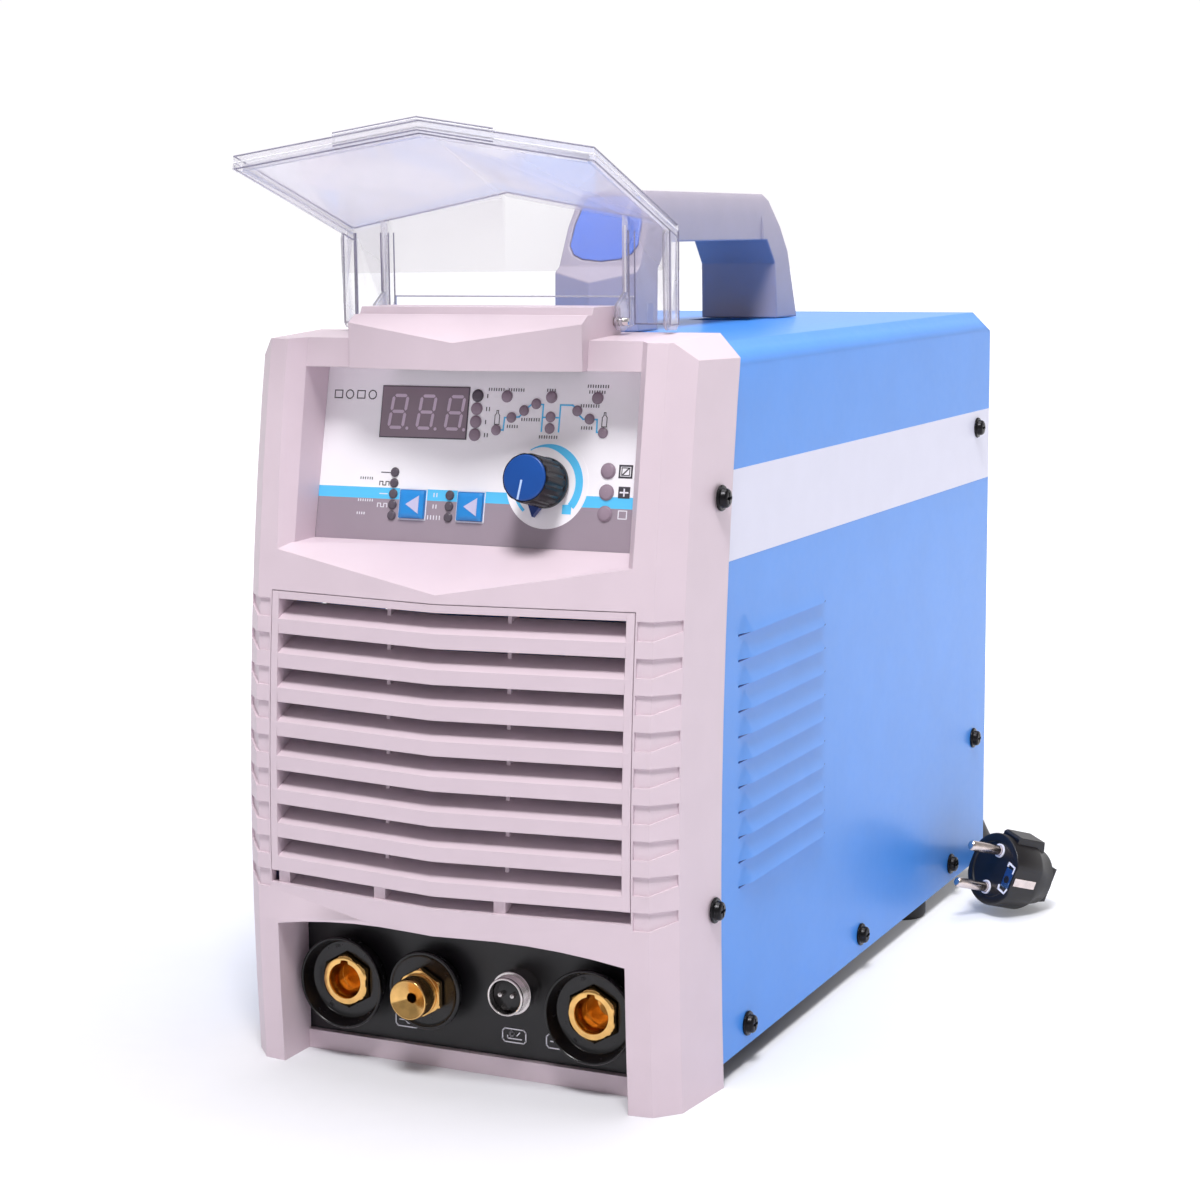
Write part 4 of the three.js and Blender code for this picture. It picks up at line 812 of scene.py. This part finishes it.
def make_graph():
    up, down, low = 55.0, 49.8, 44.8
    rising = [(6.7, low), (7.9, low), (8.1, 49.6), (14.3, 50), (15.4, 51.2), (17.8, 53.7), (19.3, up),
              (24.3, up), (24.3, low)]
    falling = [(31.6, low), (31.6, up), (36.7, up), (37.9, 54.0), (40.2, 50.9), (41.5, down),
               (47.4, down), (47.6, 45.0), (48.9, low)]
    lines = polyline(rising, 0.6) + polyline(falling, 0.6)
    lines += [bar(24.3, 50.1, 31.4, 50.1, 0.6)]
    printed("sequence_graph", lines, PRINT_CYAN, -0.22, -0.1)


def bottle(u, v):
    outline = [(u - 1, v - 2.7), (u - 1, v + 0.8), (u - 0.35, v + 1.7), (u - 0.35, v + 2.7),
               (u + 0.35, v + 2.7), (u + 0.35, v + 1.7), (u + 1, v + 0.8), (u + 1, v - 2.7),
               (u - 1, v - 2.7)]
    return polyline(outline, 0.3)


def tick_row(from_, to, v, height=1.2, step=1.05):
    """A short row of plain ticks where a printed caption would stand."""
    count = max(1, round((to - from_) / step))
    return [bar(from_ + step * i, v - height / 2, from_ + step * i, v + height / 2, 0.4)
            for i in range(count)]


def square_wave(u, v):
    return polyline([(u, v), (u, v + 1.4), (u + 1.4, v + 1.4), (u + 1.4, v), (u + 2.8, v),
                     (u + 2.8, v + 1.4), (u + 4.2, v + 1.4), (u + 4.2, v)], 0.35)


def rounded_box(u0, u1, v0, v1, line, corner=1.0):
    """A rectangle's outline with its corners cut off."""
    spots = [(u0 + corner, v0), (u1 - corner, v0), (u1, v0 + corner), (u1, v1 - corner),
             (u1 - corner, v1), (u0 + corner, v1), (u0, v1 - corner), (u0, v0 + corner)]
    return polyline(spots + spots[:1], line)


def ring(u, v, radius, line):
    spots = circle(u, v, radius, 14)
    return polyline(spots + spots[:1], line)


def make_symbols():
    dark = bottle(4.9, 49.6) + bottle(50.5, 49.8)
    for i, (_, v) in enumerate(UNIT_LAMPS):
        dark += tick_row(0, 1.1 + 1.1 * (i % 2), v, 1.6, 1.2)
    for row in ((0.5, 7.9, 60.4), (9.1, 16.6, 60.4), (25.6, 30.2, 60.5), (42.6, 51.8, 62.4),
                (43.4, 50.6, 60.2), (15.6, 23.5, 49.1), (9.6, 15.3, 46.3), (41.2, 46.5, 46.5),
                (40.3, 48.9, 54.9), (23.7, 32.3, 42.6)):
        dark += tick_row(*row)
    dark += [bar(-44.3, 26.8, -40, 26.8, 0.35)] + square_wave(-44.6, 21.8)
    dark += tick_row(-53.3, -46.6, 24.3, 1.0)
    for i, u in enumerate((-66.7, -61.6, -56.4, -51.2)):
        dark += ring(u, 57.3, 1.7, 0.4) if i % 2 else box_outline(u, 57.3, 3.4, 3.0, 0.4)
    printed("dark_symbols", dark, PRINT_DARK, *INK)
    pale = [bar(-44.3, 18.4, -40.7, 18.4, 0.4)] + square_wave(-44.8, 13.2)
    pale += tick_row(-53.6, -46.3, 15.6, 1.0) + tick_row(-53.7, -49.6, 10.4, 1.0)
    pale += tick_row(-19.9, -16.7, 18.7, 1.6, 1.3) + tick_row(-19.9, -17.1, 14.2, 1.6, 1.3)
    pale += tick_row(-21.9, -15.2, 9.9, 1.7, 1.3) + box_outline(61.0, 14.2, 3.4, 3.0, 0.4)
    printed("pale_symbols", pale, PRINT_PALE, *INK)
    frames = box_outline(61, 30.5, 5.0, 4.4, 0.7) + [bar(59.6, 29.1, 62.4, 31.9, 0.5)]
    frames += box_outline(61, 30.5, 3.2, 2.8, 0.35)
    printed("mode_icon_frame", frames, PRINT_DARK, *INK)
    printed("mode_icon_tile", [rectangle(58.6, 63.4, 20.4, 24.8)], PRINT_DARK, *INK)
    cross = [bar(59.2, 22.6, 62.8, 22.6, 0.6), bar(61, 21.1, 61, 24.1, 0.6)]
    printed("mode_icon_cross", cross, PRINT_PALE, -0.14, -0.06)


def segment(u0, v0, u1, v1, width):
    """One bar of a digit, pointed at both ends."""
    length = math.hypot(u1 - u0, v1 - v0)
    du, dv = (u1 - u0) / length, (v1 - v0) / length
    a, b = -dv * width / 2, du * width / 2
    cut = width / 2
    return [(u0, v0), (u0 + du * cut - a, v0 + dv * cut - b), (u1 - du * cut - a, v1 - dv * cut - b),
            (u1, v1), (u1 - du * cut + a, v1 - dv * cut + b), (u0 + du * cut + a, v0 + dv * cut + b)]


def digit(u, v):
    """A seven-segment figure, leaning slightly, with its point."""
    tall, wide, lean = 12.6, 6.2, 0.12
    grid = {}
    for row in range(3):
        for column in range(2):
            rise = row * tall / 2
            grid[row, column] = (u + column * wide + lean * rise, v + rise)
    pairs = [((0, 0), (0, 1)), ((1, 0), (1, 1)), ((2, 0), (2, 1)), ((0, 0), (1, 0)),
             ((1, 0), (2, 0)), ((0, 1), (1, 1)), ((1, 1), (2, 1))]
    gap = 0.35
    shapes = []
    for one, two in pairs:
        (u0, v0), (u1, v1) = grid[one], grid[two]
        length = math.hypot(u1 - u0, v1 - v0)
        du, dv = (u1 - u0) / length * gap, (v1 - v0) / length * gap
        shapes.append(segment(u0 + du, v0 + dv, u1 - du, v1 - dv, 1.25))
    shapes.append(circle(u + wide + 2.1, v - 0.2, 0.65, 16))
    return shapes


def make_display():
    shapes = []
    for i in range(3):
        shapes += digit(-42.6 + 12.6 * i, 44.6)
    printed("display_digits", shapes, SEGMENT, 0.18, 0.26)
    edge = box_outline(-27.2, 50.85, 38.4, 20.1, 0.4)
    printed("display_window_edge", edge, PRINT_DARK, -0.2, 0.05)


def knob_profile(radius, depth, lobes):
    def radius_at(angle):
        return radius - depth * (0.5 - 0.5 * math.cos(lobes * angle)) ** 2
    return radius_at


def make_knob():
    u, v = KNOB
    lobes = 14

    def place(a, b, w):
        return on_panel(u + a, v + b, w)
    rings = [(9.2, 0.9), (9.7, 1.1), (9.8, 3.2), (9.6, 3.6), (knob_profile(9.5, 0.3, lobes), 3.9),
             (knob_profile(9.5, 0.3, lobes), 17.9), (knob_profile(9.35, 0.3, lobes), 18.6),
             (9.1, 19.0), (8.9, 19.0), (8.8, 17.6), (2.7, 17.5), (2.7, 8.0)]
    points, faces = spun(rings, 168)
    grip = piece("knob_grip_moulding", points, faces, BLACK, "knob", 40, place)
    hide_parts("knob_grip")
    pointer = [(-5.6, -8.6), (-3.5, -13.3), (-0.8, -9.6)]
    printed("knob_pointer", [pointer], NAVY, 0.9, 3.5, "knob", place)
    rings = [(0.02, 16.9), (8.7, 17.2), (8.7, 19.1), (8.5, 19.4), (8.1, 19.5), (4.0, 19.56),
             (0.02, 19.58)]
    points, faces = spun(rings, 96)
    cap = piece("knob_cap_disc", points, faces, CAP_BLUE, "knob", 45, place)
    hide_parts("knob_cap")
    printed("knob_index_line", [bar(-0.9, -0.9, -1.9, -8.3, 0.8)], INDEX_BLUE, 19.4, 19.64, "knob",
            place)


def make_button(name, body):
    """A domed square key with a triangle printed on it."""
    u0 = BUTTONS[name]
    count, half = 12, 5.5
    points, faces = [], []
    for i in range(count + 1):
        for j in range(count + 1):
            a, b = -1 + 2 * i / count, -1 + 2 * j / count
            dome = (1 - a ** 4) * (1 - b ** 4)
            points.append((u0 + half * a, BUTTON_UP + half * b, 0.9 + 1.1 * dome ** 0.5))
    for i in range(count):
        for j in range(count):
            k = i * (count + 1) + j
            faces.append((k, k + count + 1, k + count + 2, k + 1))
    rim = [i * (count + 1) for i in range(count)] + [count * (count + 1) + j for j in range(count)]
    rim += [(count - i) * (count + 1) + count for i in range(count)]
    rim += [count - j for j in range(count)]
    base = len(points)
    points += [(points[k][0], points[k][1], -2.0) for k in rim]
    for i in range(len(rim)):
        j = (i + 1) % len(rim)
        faces.append((rim[i], rim[j], base + j, base + i))
    faces.append(tuple(base + i for i in range(len(rim))))
    key = piece(f"button_{name}_key", points, faces, BUTTON_BLUE, body, 50, on_panel)
    stem, sides = spun([(0.02, -6.4), (2.0, -6.4), (2.0, -1.5)], 24)
    stem = [(u0 + a, BUTTON_UP + b, w) for a, b, w in stem]
    piece(f"button_{name}_stem", stem, sides, BLACK, body, 40, on_panel)
    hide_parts(f"button_{name}")
    arrow = [(u0 - 2.0, BUTTON_UP - 0.2), (u0 + 3.7, BUTTON_UP - 3.7), (u0 + 3.7, BUTTON_UP + 3.3)]
    printed(f"button_{name}_arrow", [arrow], INDEX_PALE, 1.6, 2.08, body)
    edge = box_outline(u0, BUTTON_UP, 11.9, 11.9, 0.45)
    printed(f"button_{name}_surround", edge, PRINT_PALE, -0.22, -0.1)


make_panel_print()
make_graph()
make_symbols()
make_display()
make_lamps("unit_lamp_first", UNIT_LAMPS[:1], 2.1, LENS_DARK)
make_lamps("unit_lamps", UNIT_LAMPS[1:], 2.1, LENS_GREY)
make_lamps("top_lamps", TOP_LAMPS, 2.0, LENS_GREY)
make_lamps("graph_lamps", GRAPH_LAMPS, 1.75, LENS_GREY)
make_lamps("mode_lamps", MODE_LAMPS, 1.6, LENS_DARK)
make_lamps("cycle_lamps", CYCLE_LAMPS, 1.6, LENS_DARK)
make_lamps("alarm_lamps", ALARM_LAMPS, 2.6, LENS_GREY)
make_knob()
make_button("left", "left_button")
make_button("right", "right_button")


# Front sockets -----------------------------------------------------------------------------

DINSE_X, DINSE_Z = 54.5, 24.0
TORCH = (-17.5, 25.0)
TRIGGER = (21.3, 29.1)


def make_weld_socket(side):
    word = "right" if side > 0 else "left"
    place = about_y(side * DINSE_X, DINSE_Z)
    rings = [(13.5, 23.8), (13.5, 9.9), (15.0, 9.9), (18.3, 1.6), (18.6, 0.4), (18.6, -0.5),
             (18.3, -0.95), (17.8, -1.0), (17.5, -0.7), (17.3, 0.6), (15.7, 4.6), (15.2, 4.9),
             (12.6, 4.9), (hexagon(11.8), 5.0), (hexagon(11.6), 5.6), (hexagon(11.6), 22.0)]
    points, faces = spun(rings)
    flange = piece(f"weld_socket_ring_{word}", points, faces, BLACK, "machine", 35,
                   place)
    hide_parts(f"dinse_insulator_{word}")
    slot = math.radians(13)
    rings = [(0.02, 26.8), (hexagon(11.2), 26.8), (hexagon(11.2), 4.4), (chamfered(11.2, 10.8), 3.4),
             (chamfered(11.2, 10.2), 2.7), (9.5, 2.3), (9.2, 2.2), (slotted(7.3, 8.5, slot), 2.2),
             (slotted(6.9, 8.2, slot), 2.8), (slotted(6.9, 8.2, slot), 12.0), (6.6, 12.4), (6.6, 22.0),
             (0.02, 23.0)]
    points, faces = spun(rings)
    contact = piece(f"weld_contact_{word}", points, faces, BRASS, "machine", 35, place)
    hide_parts(f"dinse_socket_{word}")
    marks = [bar(13.4 * math.cos(a), 13.4 * math.sin(a), 14.4 * math.cos(a), 14.4 * math.sin(a), 1.8)
             for a in (0.3, 1.9, 4.1)]
    printed(f"weld_socket_marks_{word}", marks, SATIN_BLACK, 4.7, 4.95, place=place)


def make_torch_socket():
    place = about_y(*TORCH)
    rings = [(7.5, 19.8), (7.5, 9.9), (12.4, 9.9), (15.6, 3.4), (15.9, 2.5), (15.8, 1.2), (15.4, 0.75),
             (14.6, 0.7), (14.1, 1.2), (13.2, 1.4), (6.4, 1.4), (6.3, 19.8)]
    points, faces = spun(rings)
    flange = piece("torch_socket_ring", points, faces, BLACK, "machine", 35, place)
    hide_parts("torch_insulator")
    rings = [(2.0, 29.8), (5.9, 29.8), (5.9, 0.7), (hexagon(9.7), 0.6), (hexagon(10), 0.1),
             (hexagon(10), -1.9), (chamfered(10, 9.2), -2.5), (8.2, -2.6), (8.0, -2.9), (8.0, -4.1),
             (7.4, -4.3), (7.4, -5.0), (8.0, -5.2), (8.0, -11.3), (7.8, -11.85), (7.5, -12.0),
             (7.3, -11.85), (2.1, -8.8), (2.0, -8.4), (2.0, 29.8)]
    points, faces = spun(rings)
    nozzle = piece("torch_nozzle_turning", points, faces, BRASS, "machine", 30, place)
    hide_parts("torch_nozzle")


def make_trigger_socket():
    place = about_y(*TRIGGER)
    rings = [(7.0, 21.8), (7.0, 9.9), (7.9, 9.9), (7.9, 3.3), (8.6, 3.2), (8.6, 0.6), (8.4, 0.3),
             (7.6, 0.2)]
    for i in range(4):
        rings += [(7.6, -0.2 - 0.9 * i), (7.25, -0.65 - 0.9 * i)]
    rings += [(7.6, -3.8), (7.6, -4.6), (7.3, -5.0), (7.0, -5.0), (6.7, -4.8), (6.6, 1.2), (6.3, 1.3),
              (6.3, 21.8)]
    points, faces = spun(rings)
    shell = piece("trigger_socket_barrel", points, faces, NICKEL, "machine", 30, place)
    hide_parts("trigger_socket_shell")

    def notched(angle):
        away = abs((angle + math.pi / 2 + math.pi) % (2 * math.pi) - math.pi)
        return 5.6 if away < 0.16 else 6.5
    rings = [(0.02, 19.8), (6.1, 19.8), (6.1, 1.2), (notched, 1.1), (notched, -1.6), (6.0, -1.8),
             (0.02, -1.8)]
    points, faces = spun(rings)
    insert = piece("trigger_socket_core", points, faces, BLACK, "machine", 35, place)
    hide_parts("trigger_socket_insert")
    for i, u in enumerate((-2.6, 2.6)):
        rings = [(1.1, 0.0), (1.1, -3.4), (0.8, -4.0), (0.02, -4.3)]
        pin, quads = spun(rings, 24)
        piece(f"trigger_pin_{i + 1}", [(u + a, b + 0.4, w) for a, b, w in pin], quads, NICKEL,
              "machine", 40, place)


def make_bay_marks():
    """Plain outlined squares below the connectors, each with a simple sign."""
    low, high, line = 5.9, 11.3, 0.45
    signs = []
    for left in (12.2, 31.4, -35.8):
        signs += rounded_box(left, left + 10.2, low, high, line)
    signs += polyline([(14.4, 8.4), (14.4, 7.4), (20.4, 7.4)], line) + ring(16.2, 9.3, 0.9, line)
    signs += [bar(18.4, 8.6, 19.8, 10.2, line)]
    signs += polyline([(33.2, 8.6), (35.6, 8.6), (36.4, 9.6), (39.8, 9.6)], line)
    signs += polyline([(-34.0, 8.6), (-31.4, 8.6), (-30.4, 7.4), (-27.4, 7.4)], line)
    printed("bay_signs", signs, PRINT_PALE, 10.1, 10.35, place=lambda u, v, w: at(u, w, v))


for side in (-1, 1):
    make_weld_socket(side)
make_torch_socket()
make_trigger_socket()
make_bay_marks()


# Mains plug --------------------------------------------------------------------------------

PLUG_FACE = (122.6, 305.3, 14.7)
PLUG_HEADING = (-0.52, -0.81, 0.28)
PLUG_PIN_LINE = (0.31, 0.12, 0.94)
PLUG_EXIT = (-0.32, 0.94, -0.13)


def directed(origin, x_axis, z_hint):
    """Places (x, y, z) along the given direction, with z towards the hint."""
    x = Vector(x_axis).normalized()
    y = Vector(z_hint).cross(x).normalized()
    z = x.cross(y)
    return lambda a, b, c: at(*(Vector(origin) + x * a + y * b + z * c))


def turned_on_x(rings, count=56):
    points, faces = spun(rings, count)
    return [(w, u, v) for u, v, w in points], faces


def make_plug():
    back = [-part for part in PLUG_HEADING]
    place = directed(PLUG_FACE, back, PLUG_PIN_LINE)
    rings = [(0.02, 0.6), (13.2, 0.6), (13.6, 0), (16.4, 0), (17.2, 0.4), (17.5, 1.2), (17.5, 16),
             (17.0, 17.4), (14.4, 22.5), (13.4, 27.2), (12.4, 28), (0.02, 28)]

    def waist(radius):
        def radius_at(angle):
            side = abs(math.cos(angle))
            return min(radius, 15.6 / max(side, 0.05)) if radius > 15 else radius
        return radius_at
    points, faces = turned_on_x([(waist(radius), depth) for radius, depth in rings])
    body = piece("plug_body", points, faces, PLUG_BLACK, "machine", 30, place)
    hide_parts("mains_plug")
    plate, quads = slab([(25, -10), (31.5, -9), (31.5, 8), (25, 9)], -9, 9)
    rear = piece("plug_rear_grip", [(u, w, v) for u, v, w in plate], quads, PLUG_BLACK, "machine",
                 30, place)
    crest, quads = slab([(3.5, 14), (3.5, 18.4), (5, 19.4), (20, 19.4), (22, 14)], -6.5, 5)
    top = piece("plug_top_ridge", [(u, w, v) for u, v, w in crest], quads, PLUG_BLACK, "machine",
                30, place)
    made = [body, rear, top]

    def on_face(u, v, w):
        return place(w, u, v)
    made.append(printed("plug_clip_recess", [rectangle(-14.6, -9.2, -4.6, 4.8)], CLIP_METAL, -0.15, 0.5,
                        place=on_face))
    made.append(printed("plug_clip_hole", [circle(-11.6, -0.6, 1.7, 20)], PLUG_BLACK, -0.25, 0.4,
                        place=on_face))
    lines = polyline([(-9.4, 5.6), (-9.4, 7.0), (-14.2, 6.4), (-14.2, 3.6)], 0.8)
    lines += polyline([(-8.4, -5.0), (-8.4, -6.6), (-13.2, -7.2), (-14.2, -4.8)], 0.8)
    made.append(printed("plug_clip_outline", lines, PRINT_PALE, -0.2, 0.4, place=on_face))
    for i, c in enumerate((-9.5, 9.5)):
        rings = [(0.02, -19), (1.5, -18.8), (2.2, -18.2), (2.4, -17), (2.4, 1)]
        pin, quads = turned_on_x(rings, 28)
        made.append(piece(f"plug_pin_{i + 1}", [(a, b, c + d) for a, b, d in pin], quads, PIN_METAL,
                          "machine", 40, place))
        rings = [(2.5, 0.7), (2.6, -0.1), (3.3, -0.1), (3.4, 0.7)]
        collar, quads = turned_on_x(rings, 28)
        made.append(piece(f"plug_pin_ring_{i + 1}", [(a, b, c + d) for a, b, d in collar], quads,
                          PRINT_PALE, "machine", 40, place))
    for i, half in enumerate((-1, 1)):
        strip, quads = slab([(1.0, -2.0), (14.5, -2.0), (14.5, 2.0), (1.0, 2.0)], 0, 0.8)
        strip = [(u, half * (15.3 + w), v) for u, v, w in strip]
        made.append(piece(f"plug_earth_strip_{i + 1}", strip, quads, PIN_METAL, "machine",
                          30, place))
    heading = Vector(PLUG_HEADING).normalized()
    root = Vector(PLUG_FACE) - heading * 14
    rings = [(7.6, 2), (8.2, 14), (8.0, 20)]
    for i in range(5):
        x = 21 + 3.4 * i
        rings += [(7.7 - 0.25 * i, x), (7.7 - 0.25 * i, x + 1.9), (6.5 - 0.22 * i, x + 2.3),
                  (6.5 - 0.22 * i, x + 3.2)]
    rings += [(6.2, 38.6), (5.2, 38.8), (5.1, 30)]
    points, faces = turned_on_x(rings, 40)
    boot = piece("plug_strain_relief", points, faces, RUBBER, "machine", 30,
                 directed(root, PLUG_EXIT, (0, 0, 1)))
    made.append(boot)
    return made


plug_pieces = make_plug()
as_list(plug_pieces)
